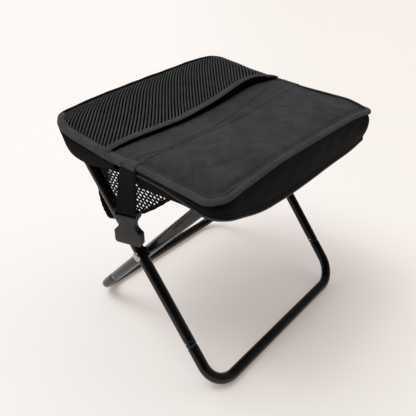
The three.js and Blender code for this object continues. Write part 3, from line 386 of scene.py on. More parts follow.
class NodeGraph:
    """Short calls that add nodes to one tree and join them."""

    def __init__(self, tree: NodeTree) -> None:
        """Takes the tree to work on."""
        self.tree = tree

    def node(self, kind: str, feeds: dict | None = None, **settings: object) -> Node:
        """Adds a node.

        Args:
            kind: Node type.
            feeds: Sockets or values for its inputs, by name or number.
            **settings: Values of its properties.

        Returns:
            The node.
        """
        made = self.tree.nodes.new(kind)
        for key, value in settings.items():
            setattr(made, key, value)
        for key, value in (feeds or {}).items():
            self.feed(made.inputs[key], value)
        return made

    def given(self) -> dict[str, NodeSocket]:
        """Adds the node of a group's inputs and gives its sockets by name."""
        return {socket.name: socket for socket in self.node("NodeGroupInput").outputs}

    def feed(self, socket: NodeSocket, value: object) -> None:
        """Joins a socket to another socket, or sets its value.

        Args:
            socket: The input.
            value: Socket or value that it takes.
        """
        if isinstance(value, NodeSocket):
            self.tree.links.new(value, socket)
        else:
            socket.default_value = value

    def math(self, operation: str, *values: object, clamp: bool = False) -> NodeSocket:
        """Adds a Math node for sockets or numbers, whose result may be kept between 0 and 1."""
        feeds = dict(enumerate(values))
        return self.node("ShaderNodeMath", feeds, operation=operation, use_clamp=clamp).outputs[0]

    def noise(self, place: object, size: float, detail: float = 3.0, stretch: tuple = (1, 1, 1),
              warp: float = 0.0) -> NodeSocket:
        """Adds noise.

        Args:
            place: Socket with the place.
            size: Size of its patches, as a number or a socket.
            detail: Octaves.
            stretch: How much longer the patches are along each axis.
            warp: Distortion.

        Returns:
            Its factor.
        """
        mapping = self.node("ShaderNodeMapping", {"Vector": place, "Scale": [1 / s for s in stretch]})
        scale = 1 / size if isinstance(size, float) else self.math("DIVIDE", 1.0, size)
        feeds = {"Vector": mapping.outputs[0], "Scale": scale, "Detail": detail, "Distortion": warp}
        return self.node("ShaderNodeTexNoise", feeds).outputs["Fac"]

    def spread(self, value: object, low: float, high: float, first: object, last: object,
               smooth: bool = False) -> NodeSocket:
        """Maps a range to another.

        Args:
            value: Socket to map.
            low: Start of its range.
            high: End of its range.
            first: What low becomes.
            last: What high becomes.
            smooth: Whether the ends are eased.

        Returns:
            The mapped value.
        """
        feeds = {"Value": value, "From Min": low, "From Max": high, "To Min": first, "To Max": last}
        kind = "SMOOTHSTEP" if smooth else "LINEAR"
        return self.node("ShaderNodeMapRange", feeds, interpolation_type=kind).outputs[0]

    def colours(self, factor: object, first: object, last: object) -> NodeSocket:
        """Mixes two colours: factor is the share of the last one."""
        return self.node("ShaderNodeMix", {0: factor, 6: first, 7: last}, data_type="RGBA").outputs[2]

    def place(self, tree: NodeTree, **values: object) -> Node:
        """Adds a shader group and feeds its inputs by name."""
        return self.node("ShaderNodeGroup", values, node_tree=tree)

    def bump(self, height: object, distance: float, strength: float, under: object = None) -> NodeSocket:
        """Adds a Bump node.

        Args:
            height: Socket with the height.
            distance: Its depth in metres.
            strength: Its strength.
            under: Normal that it adds to.

        Returns:
            The bumped normal.
        """
        feeds = {"Height": height, "Distance": distance, "Strength": strength}
        if under is not None:
            feeds["Normal"] = under
        return self.node("ShaderNodeBump", feeds).outputs[0]


class Patterns:
    """Shader groups that several finishes share, each built once."""

    @staticmethod
    def start(name: str, **sizes: float) -> tuple[NodeGraph, dict[str, NodeSocket]]:
        """Makes an empty group with a place and sizes as inputs.

        Args:
            name: Name of the group.
            **sizes: Number inputs and their defaults.

        Returns:
            The group's graph and its inputs.
        """
        tree = bpy.data.node_groups.new(name, "ShaderNodeTree")
        tree.interface.new_socket("Place", in_out="INPUT", socket_type="NodeSocketVector")
        for key, value in sizes.items():
            socket = tree.interface.new_socket(key, in_out="INPUT", socket_type="NodeSocketFloat")
            socket.default_value = value
        graph = NodeGraph(tree)
        return graph, graph.given()

    @staticmethod
    def ended(graph: NodeGraph, **results: NodeSocket) -> NodeTree:
        """Gives a group its number outputs.

        Args:
            graph: The group's graph.
            **results: Sockets that the outputs take.

        Returns:
            The group.
        """
        for key in results:
            graph.tree.interface.new_socket(key, in_out="OUTPUT", socket_type="NodeSocketFloat")
        graph.node("NodeGroupOutput", results)
        return graph.tree

    @classmethod
    @cache
    def weave(cls) -> NodeTree:
        """Plain weave: Height of the threads and Slub, their uneven thickness.

        Returns:
            The group.
        """
        graph, given = cls.start("plain_weave", Warp=0.0008, Weft=0.0008)
        split = graph.node("ShaderNodeSeparateXYZ", {0: given["Place"]})
        waves = []
        for axis, pitch in (("X", "Warp"), ("Y", "Weft")):
            turns = graph.math("DIVIDE", graph.math("MULTIPLY", split.outputs[axis], math.pi), given[pitch])
            waves.append(graph.math("SINE", turns))
        over = graph.math("MULTIPLY", waves[0], waves[1])
        ridges = graph.math("MAXIMUM", graph.math("ABSOLUTE", waves[0]), graph.math("ABSOLUTE", waves[1]))
        height = graph.math("MULTIPLY_ADD", over, 0.35, graph.math("MULTIPLY", ridges, 0.6))
        slub = graph.noise(given["Place"], 0.004, 2.0, (9, 1, 1))
        cross = graph.noise(given["Place"], 0.004, 2.0, (1, 9, 1))
        both = graph.math("MULTIPLY", graph.math("ADD", slub, cross), 0.5)
        return cls.ended(graph, Height=height, Slub=both)

    @classmethod
    @cache
    def mottle(cls) -> NodeTree:
        """Soft uneven shade of dust and handling, between Low and High.

        Returns:
            The group.
        """
        graph, given = cls.start("soft_mottle", Size=0.03, Low=0.0, High=1.0)
        broad = graph.noise(given["Place"], given["Size"], 4.0, warp=0.6)
        shade = graph.spread(broad, 0.32, 0.68, given["Low"], given["High"], smooth=True)
        return cls.ended(graph, Shade=shade)

    @classmethod
    @cache
    def scuffs(cls) -> NodeTree:
        """Fine rubbed marks as a mask, with Amount of cover.

        Returns:
            The group.
        """
        graph, given = cls.start("rubbed_marks", Size=0.012, Amount=0.2)
        lines = graph.noise(given["Place"], given["Size"], 5.0, (6, 1, 1), 1.5)
        patches = graph.noise(given["Place"], 0.05, 2.0)
        both = graph.math("MULTIPLY", lines, patches)
        start = graph.math("SUBTRACT", 0.42, graph.math("MULTIPLY", given["Amount"], 0.25))
        over = graph.math("SUBTRACT", both, start)
        return cls.ended(graph, Mask=graph.math("MULTIPLY", over, 14.0, clamp=True))

    @classmethod
    @cache
    def creases(cls) -> NodeTree:
        """Soft handling creases of cloth, as a Height.

        Returns:
            The group.
        """
        graph, given = cls.start("cloth_creases", Size=0.03)
        field = graph.noise(given["Place"], given["Size"], 2.0, (1.6, 1, 1), 1.2)
        ridge = graph.math("ABSOLUTE", graph.math("SUBTRACT", field, 0.5))
        sharp = graph.spread(ridge, 0.0, 0.2, 0.6, 0.0, smooth=True)
        fine = graph.noise(given["Place"], 0.011, 2.0)
        return cls.ended(graph, Height=graph.math("MULTIPLY_ADD", fine, 0.5, sharp))

    @classmethod
    @cache
    def net(cls) -> NodeTree:
        """Knitted net: Cover is 1 on the threads, Height their roundness. Slant and Rows join its holes.

        Returns:
            The group.
        """
        graph, given = cls.start("knitted_net", Pitch=0.0066, Row=0.0067, Opening=0.2, Slant=1.0, Rows=0.0)
        split = graph.node("ShaderNodeSeparateXYZ", {0: given["Place"]})
        across = graph.math("DIVIDE", split.outputs["X"], given["Pitch"])
        along = graph.math("DIVIDE", split.outputs["Y"], given["Row"])
        turns = []
        for operation in ("ADD", "SUBTRACT"):
            angle = graph.math("MULTIPLY", graph.math(operation, across, along), 2 * math.pi)
            turns.append(graph.math("COSINE", angle))
        lines = graph.math("COSINE", graph.math("MULTIPLY", along, 4 * math.pi))
        field = graph.math("MULTIPLY_ADD", turns[0], given["Slant"], turns[1])
        field = graph.math("MULTIPLY_ADD", lines, given["Rows"], field)
        over = graph.math("SUBTRACT", given["Opening"], field)
        return cls.ended(graph, Cover=graph.spread(over, -0.12, 0.12, 0.0, 1.0, smooth=True),
                         Height=graph.spread(over, 0.0, 1.6, 0.0, 1.0, smooth=True))


@dataclass(frozen=True)
class Finish:
    """A finish of this stool, and the record's slot that it stands for."""

    name: str
    slot: str

    def material(self) -> Material:
        """The finish as a material, built once.

        Returns:
            The material.
        """
        found = bpy.data.materials.get(self.name)
        if found:
            return found
        made = bpy.data.materials.new(self.name)
        made.use_nodes = True
        graph = NodeGraph(made.node_tree)
        skin = made.node_tree.nodes["Principled BSDF"].inputs
        for socket, value in self.dress(graph).items():
            graph.feed(skin[socket], value)
        return made

    def dress(self, graph: NodeGraph) -> dict[str, object]:
        """Makes the finish's nodes and gives what the shader's sockets take."""
        raise NotImplementedError


@dataclass(frozen=True)
class PowderCoat(Finish):
    """Glossy black powder coat on steel tube."""

    def dress(self, graph: NodeGraph) -> dict[str, object]:
        """Makes the finish's nodes.

        Args:
            graph: Graph of the material.

        Returns:
            What the shader's sockets take.
        """
        where = graph.node("ShaderNodeTexCoord").outputs["Object"]
        marks = graph.place(Patterns.scuffs(), Place=where, Size=0.01, Amount=0.15).outputs["Mask"]
        shade = graph.place(Patterns.mottle(), Place=where, Size=0.02).outputs["Shade"]
        coat = graph.colours(shade, (0.0035, 0.0035, 0.0036, 1), (0.006, 0.006, 0.006, 1))
        rough = graph.spread(shade, 0.0, 1.0, 0.2, 0.27)
        peel = graph.noise(where, 0.0016, 2.0)
        return {"Base Color": graph.colours(marks, coat, (0.035, 0.034, 0.034, 1)),
                "Roughness": graph.math("MULTIPLY_ADD", marks, 0.2, rough),
                "Normal": graph.bump(peel, 0.00006, 0.6), "Specular IOR Level": 0.22,
                "Coat Weight": 0.2, "Coat Roughness": 0.06}


@dataclass(frozen=True)
class BareMetal(Finish):
    """Plated or enamelled metal with fine wear."""

    colour: tuple = (0.55, 0.54, 0.52, 1)
    worn: tuple = (0.32, 0.31, 0.3, 1)
    rough: float = 0.26

    def dress(self, graph: NodeGraph) -> dict[str, object]:
        """Makes the finish's nodes.

        Args:
            graph: Graph of the material.

        Returns:
            What the shader's sockets take.
        """
        where = graph.node("ShaderNodeTexCoord").outputs["Object"]
        marks = graph.place(Patterns.scuffs(), Place=where, Size=0.002, Amount=0.6).outputs["Mask"]
        shade = graph.place(Patterns.mottle(), Place=where, Size=0.003).outputs["Shade"]
        tint = graph.math("MULTIPLY_ADD", shade, 0.35, graph.math("MULTIPLY", marks, 0.5), clamp=True)
        return {"Base Color": graph.colours(tint, self.colour, self.worn),
                "Roughness": graph.math("MULTIPLY_ADD", tint, 0.2, self.rough),
                "Normal": graph.bump(marks, 0.00002, 0.5), "Metallic": 1.0}


@dataclass(frozen=True)
class Moulded(Finish):
    """Moulded plastic with a fine spark-eroded grain."""

    colour: tuple = (0.036, 0.036, 0.038, 1)
    pale: tuple = (0.05, 0.05, 0.052, 1)
    rough: float = 0.42
    grain: float = 0.0006

    def dress(self, graph: NodeGraph) -> dict[str, object]:
        """Makes the finish's nodes.

        Args:
            graph: Graph of the material.

        Returns:
            What the shader's sockets take.
        """
        where = graph.node("ShaderNodeTexCoord").outputs["Object"]
        shade = graph.place(Patterns.mottle(), Place=where, Size=0.008).outputs["Shade"]
        marks = graph.place(Patterns.scuffs(), Place=where, Size=0.004, Amount=0.3).outputs["Mask"]
        body = graph.colours(shade, self.colour, self.pale)
        bright = tuple(min(2.2 * c, 1) for c in self.pale[:3]) + (1,)
        grain = graph.noise(where, self.grain, 2.0)
        return {"Base Color": graph.colours(graph.math("MULTIPLY", marks, 0.5), body, bright),
                "Roughness": graph.spread(shade, 0.0, 1.0, self.rough, self.rough + 0.1),
                "Normal": graph.bump(grain, 0.00005, 0.8)}


@dataclass(frozen=True)
class Cloth(Finish):
    """Woven cloth, with slubs, soft mottling, creases and shade painted into the hollows of its weave."""

    dark: tuple = (0.04, 0.04, 0.041, 1)
    pale: tuple = (0.062, 0.061, 0.062, 1)
    warp: float = 0.0009
    weft: float = 0.0009
    depth: float = 0.00018
    crease: float = 0.0003
    crease_size: float = 0.05
    rough: float = 0.86
    sheen: float = 0.04
    shine: float = 0.2

    def dress(self, graph: NodeGraph) -> dict[str, object]:
        """Makes the finish's nodes.

        Args:
            graph: Graph of the material.

        Returns:
            What the shader's sockets take.
        """
        where = graph.node("ShaderNodeUVMap", uv_map="UVMap").outputs["UV"]
        weave = graph.place(Patterns.weave(), Place=where, Warp=self.warp, Weft=self.weft)
        broad = graph.place(Patterns.mottle(), Place=where, Size=0.028).outputs["Shade"]
        small = graph.place(Patterns.mottle(), Place=where, Size=0.006).outputs["Shade"]
        crease = graph.place(Patterns.creases(), Place=where, Size=self.crease_size).outputs["Height"]
        tone = graph.math("MULTIPLY_ADD", broad, 0.5, graph.math("MULTIPLY", small, 0.25))
        tone = graph.math("MULTIPLY_ADD", weave.outputs["Slub"], 0.25, tone)
        # Painted shade: the weave's hollows darken towards a deeper copy of the cloth's colour
        thread = graph.spread(weave.outputs["Height"], 0.1, 0.9, 0.72, 1.08)
        cloth = graph.colours(tone, self.dark, self.pale)
        painted_weave_shade = tuple(0.45 * c for c in self.dark[:3]) + (1,)
        folds = graph.bump(crease, self.crease, 0.7)
        return {"Base Color": graph.colours(thread, painted_weave_shade, cloth),
                "Roughness": graph.spread(tone, 0.0, 1.0, self.rough - 0.06, self.rough + 0.08),
                "Normal": graph.bump(weave.outputs["Height"], self.depth, 0.8, folds),
                "Specular IOR Level": self.shine, "Sheen Weight": self.sheen, "Sheen Roughness": 0.5}


@dataclass(frozen=True)
class Net(Finish):
    """Knitted net whose holes are see-through, its yarn painted darker towards its edges as shade."""

    thread: tuple = (0.05, 0.05, 0.052, 1)
    # Colour of the painted shade at the yarn's edges
    shade: tuple = (0.022, 0.022, 0.023, 1)
    pitch: float = 0.0066
    row: float = 0.0067
    opening: float = 0.0
    slant: float = 0.45
    rows: float = 0.0

    def dress(self, graph: NodeGraph) -> dict[str, object]:
        """Makes the finish's nodes.

        Args:
            graph: Graph of the material.

        Returns:
            What the shader's sockets take.
        """
        where = graph.node("ShaderNodeUVMap", uv_map="UVMap").outputs["UV"]
        net = graph.place(Patterns.net(), Place=where, Pitch=self.pitch, Row=self.row, Opening=self.opening,
                          Slant=self.slant, Rows=self.rows)
        yarn = graph.place(Patterns.weave(), Place=where, Warp=0.0005, Weft=0.0008)
        tone = graph.place(Patterns.mottle(), Place=where, Size=0.02, Low=0.35, High=1.0).outputs["Shade"]
        # Painted shade on the round yarn, darker towards its edges, times its uneven tone
        painted_yarn_shade = graph.math("MULTIPLY", net.outputs["Height"], tone)
        round_yarn = graph.bump(net.outputs["Height"], 0.0006, 0.9)
        return {"Base Color": graph.colours(painted_yarn_shade, self.shade, self.thread), "Alpha": net.outputs["Cover"],
                "Roughness": graph.spread(tone, 0.0, 1.0, 0.62, 0.8),
                "Normal": graph.bump(yarn.outputs["Height"], 0.0001, 0.6, round_yarn),
                "Specular IOR Level": 0.2}


@dataclass(frozen=True)
class Foil(Finish):
    """Wipe-clean silvery liner, crinkled."""

    def dress(self, graph: NodeGraph) -> dict[str, object]:
        """Makes the finish's nodes.

        Args:
            graph: Graph of the material.

        Returns:
            What the shader's sockets take.
        """
        where = graph.node("ShaderNodeUVMap", uv_map="UVMap").outputs["UV"]
        crease = graph.place(Patterns.creases(), Place=where, Size=0.012).outputs["Height"]
        shade = graph.place(Patterns.mottle(), Place=where, Size=0.02).outputs["Shade"]
        return {"Base Color": graph.colours(shade, (0.42, 0.43, 0.44, 1), (0.52, 0.53, 0.54, 1)),
                "Roughness": graph.spread(shade, 0.0, 1.0, 0.28, 0.42),
                "Metallic": graph.spread(shade, 0.0, 1.0, 0.35, 0.5),
                "Normal": graph.bump(crease, 0.0006, 0.6)}


@dataclass(frozen=True)
class PaleFloor(Finish):
    """Pale studio floor, painted darker along (0.67, -0.74) as a fall-off of light."""

    def dress(self, graph: NodeGraph) -> dict[str, object]:
        """Makes the finish's nodes.

        Args:
            graph: Graph of the material.

        Returns:
            What the shader's sockets take.
        """
        where = graph.node("ShaderNodeTexCoord").outputs["Object"]
        shade = graph.place(Patterns.mottle(), Place=where, Size=0.9).outputs["Shade"]
        # Painted fall-off of light: the floor darkens along (0.67, -0.74), with a faint mottle on top
        across = graph.node("ShaderNodeVectorMath", {0: where, 1: (0.67, -0.74, 0)}, operation="DOT_PRODUCT")
        painted_falloff = graph.spread(across.outputs["Value"], -0.5, 0.7, 0.0, 0.94, smooth=True)
        tone = graph.math("MULTIPLY_ADD", shade, 0.06, painted_falloff)
        ray = graph.node("ShaderNodeLightPath")
        seen = graph.math("MAXIMUM", ray.outputs["Is Camera Ray"], ray.outputs["Is Glossy Ray"])
        seen = graph.math("MAXIMUM", seen, ray.outputs["Is Transmission Ray"])
        return {"Base Color": graph.colours(tone, (0.87, 0.88, 0.89, 1), (0.8, 0.8, 0.8, 1)),
                "Roughness": graph.spread(shade, 0.0, 1.0, 0.8, 0.85),
                "Emission Color": graph.colours(seen, (0, 0, 0, 1), (0.25, 0.2, 0.165, 1)),
                "Emission Strength": 1.0, "Specular IOR Level": 0.2}


POWDER = PowderCoat("black_powder_coat", "frame")
RIVET = BareMetal("bright_rivet", "rivet")
WASHER = Moulded("pivot_nylon", "washer", (0.016, 0.016, 0.017, 1), (0.022, 0.022, 0.023, 1), 0.5)
CANVAS = Cloth("seat_canvas", "fabric", (0.028, 0.028, 0.0295, 1), (0.064, 0.063, 0.065, 1))
# Wall cloth: a little darker than the seat's cloth, and darkened much further as painted shade on the walls,
# sleeves, slung floors and solid bag corners
WALL_WITH_PAINTED_SHADE = Cloth("wall_canvas", "wall", (0.0035, 0.0034, 0.0033, 1), (0.0075, 0.0073, 0.0071, 1), rough=0.8,
             sheen=0.0, shine=0.1)
# Seat canvas darkened as painted shade, for the panel under the pocket's net
PAINTED_SHADE_CANVAS = Cloth("shaded_canvas", "fabric", (0.003, 0.003, 0.003, 1), (0.005, 0.005, 0.005, 1), sheen=0.0,
              shine=0.0)
TAPE = Cloth("binding_tape", "binding", (0.052, 0.0495, 0.047, 1), (0.092, 0.087, 0.083, 1), 0.0007, 0.0012,
             0.0002, 0.0003, 0.02)
# Black tape of the bag's edges, also laid on the rear hem's far end as painted shade
BLACK_TAPE_AND_PAINTED_SHADE = Cloth("dark_binding_tape", "binding", (0.005, 0.005, 0.0048, 1), (0.011, 0.0105, 0.01, 1),
                  0.0007, 0.0012, 0.0002, 0.0003, 0.02, sheen=0.0, shine=0.1)
ZIP_TAPE = Cloth("zipper_tape", "zipper", (0.004, 0.004, 0.0042, 1), (0.009, 0.009, 0.0095, 1), 0.0006,
                 0.0006, 0.0001, 0.0002, 0.02, sheen=0.0, shine=0.15)
WEBBING = Cloth("ribbed_webbing", "webbing", (0.006, 0.0055, 0.0058, 1), (0.0125, 0.0115, 0.012, 1), 0.0011,
                0.0022, 0.0004, 0.0002, 0.03, sheen=0.0, shine=0.15)
FOIL = Foil("liner_foil", "liner")
POCKET_NET = Net("pocket_net", "mesh", (0.11, 0.11, 0.113, 1), (0.04, 0.04, 0.041, 1))
BAG_NET = Net("bag_net", "mesh", (0.02, 0.02, 0.021, 1), (0.006, 0.006, 0.0065, 1), 0.0085, 0.0092, 0.4, 1.0,
              1.4)
OPEN_NET = Net("open_bag_net", "mesh", (0.02, 0.02, 0.021, 1), (0.006, 0.006, 0.0065, 1), 0.0072, 0.0092,
               -1.0, 1.0)
COIL = Moulded("zipper_coil", "zipper", (0.07, 0.07, 0.07, 1), (0.12, 0.12, 0.12, 1), 0.3, 0.0004)
ENAMEL = BareMetal("black_enamel", "slider", (0.05, 0.05, 0.052, 1), (0.14, 0.135, 0.13, 1), 0.28)
ACETAL = Moulded("buckle_acetal", "buckle", (0.012, 0.012, 0.0125, 1), (0.018, 0.018, 0.0185, 1), 0.5)
LID_THREAD = Cloth("lid_thread", "fabric", (0.006, 0.0065, 0.010, 1), (0.011, 0.012, 0.018, 1), 0.0004,
                   0.0004, 0.0001, 0.0001, 0.01)
TAPE_THREAD = Cloth("tape_thread", "binding", (0.04, 0.037, 0.034, 1), (0.06, 0.055, 0.05, 1), 0.0004,
                    0.0004, 0.0001, 0.0001, 0.01)
FLOOR = PaleFloor("studio_floor", "frame")


@dataclass
class Shell:
    """Points, faces and each face corner's place on the cloth, in metres."""

    points: Array
    faces: list
    corners: list

    @classmethod
    def slab(cls, top: Array, bottom: Array, cloth: Array | None = None) -> "Shell":
        """Closed sheet between two grids.

        Args:
            top: Upper grid (n, m, 3).
            bottom: Lower grid (n, m, 3).
            cloth: Places on the cloth (n, m, 2), or None to measure them along the grid.

        Returns:
            The shell.
        """
        n, m = top.shape[:2]
        if cloth is None:
            rows = np.linalg.norm(np.diff(top, axis=0), axis=2).mean(axis=1)
            across = np.linalg.norm(np.diff(top, axis=1), axis=2)
            v = np.concatenate([[0], np.cumsum(rows)])
            u = np.concatenate([np.zeros((n, 1)), np.cumsum(across, axis=1)], axis=1)
            u = u - u[:, m // 2][:, None]
            cloth = np.stack([u, np.repeat(v[:, None], m, axis=1)], axis=2)
        points = np.concatenate([top.reshape(-1, 3), bottom.reshape(-1, 3)])
        places = np.concatenate([cloth.reshape(-1, 2), cloth.reshape(-1, 2)])
        index = np.arange(n * m).reshape(n, m)
        quads = np.stack([index[:-1, :-1], index[1:, :-1], index[1:, 1:], index[:-1, 1:]], axis=2)
        quads = quads.reshape(-1, 4)
        under = quads[:, ::-1] + n * m
        rim = [*index[:-1, 0], *index[-1, :-1], *index[:0:-1, -1], *index[0, :0:-1]]
        sides = [(q, p, p + n * m, q + n * m) for p, q in zip(rim, rim[1:] + rim[:1])]
        faces = quads.tolist() + under.tolist() + [[int(c) for c in side] for side in sides]
        return cls(points, faces, [[tuple(places[c]) for c in face] for face in faces])

    @classmethod
    def layer(cls, x: Array, y: Array, top: Array, bottom: Array) -> "Shell":
        """Closed sheet over a grid in plan, between two heights."""
        return cls.slab(np.dstack([x, y, top]), np.dstack([x, y, bottom]))

    @classmethod
    def loft(cls, rings: Array) -> "Shell":
        """Skin through closed rings, closed at both ends.

        Args:
            rings: Ring points (n, k, 3).

        Returns:
            The shell.
        """
        n, k = rings.shape[:2]
        steps = np.linalg.norm(np.diff(rings.mean(axis=1), axis=0), axis=1)
        along = np.concatenate([[0], np.cumsum(steps)])
        closed = np.concatenate([rings, rings[:, :1]], axis=1)
        hoop = np.linalg.norm(np.diff(closed, axis=1), axis=2).mean(axis=0)
        around = np.concatenate([[0], np.cumsum(hoop)])
        faces, corners = [], []
        for i in range(n - 1):
            start, stop = i * k, (i + 1) * k
            for j in range(k):
                far = (j + 1) % k
                faces.append([start + j, start + far, stop + far, stop + j])
                corners.append([(along[i], around[j]), (along[i], around[j + 1]),
                                (along[i + 1], around[j + 1]), (along[i + 1], around[j])])
        for ring, order in ((0, range(k - 1, -1, -1)), (n - 1, range(k))):
            faces.append([ring * k + j for j in order])
            corners.append([(along[ring], around[j]) for j in order])
        return cls(rings.reshape(-1, 3), faces, corners)

    def joined(self, other: "Shell") -> "Shell":
        """This shell and another as one.

        Args:
            other: The other shell.

        Returns:
            The joined shell.
        """
        moved = [[c + len(self.points) for c in face] for face in other.faces]
        points = np.concatenate([self.points, other.points])
        return Shell(points, self.faces + moved, self.corners + other.corners)

    def made(self, name: str, finish: Finish, sharp: float = 50.0) -> Object:
        """Turns the shell into an object in the row frame, faces outward.

        Args:
            name: Name of the piece.
            finish: What it is made of.
            sharp: Angle over which an edge is sharp, in degrees.

        Returns:
            The object.
        """
        points = np.array(self.points, float)
        fans = np.array([(face[0], b, c) for face in self.faces for b, c in zip(face[1:], face[2:])])
        a, b, c = points[fans.T]
        faces, corners = self.faces, self.corners
        if (a * np.cross(b, c)).sum() < 0:
            faces = [face[::-1] for face in faces]
            corners = [list(corner)[::-1] for corner in corners]
        points[:, 1] += SHIFT
        mesh = bpy.data.meshes.new(name)
        mesh.from_pydata(points.tolist(), [], faces)
        layer = mesh.uv_layers.new(name="UVMap")
        layer.data.foreach_set("uv", np.array([c for corner in corners for c in corner]).ravel())
        mesh.shade_smooth()
        mesh.set_sharp_from_angle(angle=math.radians(sharp))
        mesh.materials.append(finish.material())
        piece = bpy.data.objects.new(name, mesh)
        bpy.context.scene.collection.objects.link(piece)
        return piece

    def settled(self, name: str, body: str, finish: Finish, *nodes: str) -> Object:
        """Makes the shell's object and puts it on its body in place of the named nodes."""
        return settle(self.made(name, finish), body, finish, *nodes)


def settle(piece: Object, body: str, finish: Finish, *nodes: str) -> Object:
    """Puts a finished piece on its body and hides the CAD nodes that it stands for.

    Args:
        piece: The piece.
        body: Body that carries it.
        finish: Its finish; not used.
        *nodes: CAD nodes that it replaces.

    Returns:
        The piece.
    """
    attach(piece, body)
    if nodes:
        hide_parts(*nodes)
    LOG.info("%s rides on %s (%d faces)", piece.name, body, len(piece.data.polygons))
    return piece


class Recipe:
    """Geometry Nodes tree that makes shapes along the edges of a path mesh."""

    kinds = {float: "NodeSocketFloat", int: "NodeSocketInt", tuple: "NodeSocketVector"}
    inputs: dict[str, object] = {}
    sharp: float = 50.0

    def __init__(self, name: str) -> None:
        """Builds the tree once.

        Args:
            name: Name of the tree.
        """
        self.tree = bpy.data.node_groups.new(name, "GeometryNodeTree")
        face = self.tree.interface
        face.new_socket("Paths", in_out="INPUT", socket_type="NodeSocketGeometry")
        for key, default in self.inputs.items():
            socket = face.new_socket(key, in_out="INPUT", socket_type=self.kinds[type(default)])
            socket.default_value = default
        face.new_socket("Finish", in_out="INPUT", socket_type="NodeSocketMaterial")
        face.new_socket("Shape", in_out="OUTPUT", socket_type="NodeSocketGeometry")
        graph = NodeGraph(self.tree)
        given = graph.given()
        smooth = graph.node("GeometryNodeSetShadeSmooth", {"Geometry": self.build(graph, given)})
        real = graph.node("GeometryNodeRealizeInstances", {"Geometry": smooth.outputs[0]})
        feeds = {"Geometry": real.outputs[0], "Material": given["Finish"]}
        paint = graph.node("GeometryNodeSetMaterial", feeds)
        graph.node("NodeGroupOutput", {"Shape": paint.outputs[0]})

    def build(self, graph: NodeGraph, given: dict) -> NodeSocket:
        """Adds the nodes that make the shape and returns its socket."""
        raise NotImplementedError

    def made(self, name: str, paths: Sequence[Array], finish: Finish,
             numbers: dict[str, Array] | None = None, **sizes: object) -> Object:
        """Runs the recipe along paths and keeps the result as a plain mesh.

        Args:
            name: Name of the piece.
            paths: Points of each path (n, 3), counted from the pivots in Y.
            finish: What the piece is made of.
            numbers: Attributes of the points, over all paths.
            **sizes: Values of the tree's inputs.

        Returns:
            The object.
        """
        points = np.concatenate(paths).astype(float)
        points[:, 1] += SHIFT
        edges, start = [], 0
        for path in paths:
            edges += [(start + k, start + k + 1) for k in range(len(path) - 1)]
            start += len(path)
        mesh = bpy.data.meshes.new(name)
        mesh.from_pydata(points.tolist(), edges, [])
        for key, values in (numbers or {}).items():
            kind, field = ("FLOAT", "value") if np.ndim(values) == 1 else ("FLOAT_VECTOR", "vector")
            layer = mesh.attributes.new(key, kind, "POINT")
            layer.data.foreach_set(field, np.ravel(values).astype(np.float32))
        piece = bpy.data.objects.new(name, mesh)
        bpy.context.scene.collection.objects.link(piece)
        modifier = piece.modifiers.new("recipe", "NODES")
        modifier.node_group = self.tree
        sizes["Finish"] = finish.material()
        for item in self.tree.interface.items_tree:
            if item.item_type == "SOCKET" and item.in_out == "INPUT" and item.name in sizes:
                modifier[item.identifier] = sizes[item.name]
        graph = bpy.context.evaluated_depsgraph_get()
        plain = bpy.data.meshes.new_from_object(piece.evaluated_get(graph), depsgraph=graph)
        piece.modifiers.clear()
        piece.data = plain
        plain.name = name
        plain.shade_smooth()
        plain.set_sharp_from_angle(angle=math.radians(self.sharp))
        layer = plain.uv_layers[0] if plain.uv_layers else plain.uv_layers.new(name="UVMap")
        layer.name = "UVMap"
        corner = np.array([loop.vertex_index for loop in plain.loops])
        points = np.array([v.co for v in plain.vertices], float)[corner]
        flat = np.column_stack([points[:, 0] + points[:, 1], points[:, 2] + points[:, 1]])
        layer.data.foreach_set("uv", flat.astype(np.float32).ravel())
        return piece


class TubeRecipe(Recipe):
    """Round bar along each path, as thick as the points' girth says."""

    inputs = {"Radius": 0.008, "Sides": 28}

    def build(self, graph: NodeGraph, given: dict) -> NodeSocket:
        """Adds the nodes that sweep the bar.

        Args:
            graph: Graph of the tree.
            given: Sockets of its inputs.

        Returns:
            The bar.
        """
        curve = graph.node("GeometryNodeMeshToCurve", {0: given["Paths"]})
        feeds = {"Resolution": given["Sides"], "Radius": given["Radius"]}
        circle = graph.node("GeometryNodeCurvePrimitiveCircle", feeds)
        girth = graph.node("GeometryNodeInputNamedAttribute", {"Name": "girth"}, data_type="FLOAT")
        feeds = {"Curve": curve.outputs[0], "Profile Curve": circle.outputs["Curve"],
                 "Scale": girth.outputs["Attribute"], "Fill Caps": True}
        return graph.node("GeometryNodeCurveToMesh", feeds).outputs[0]


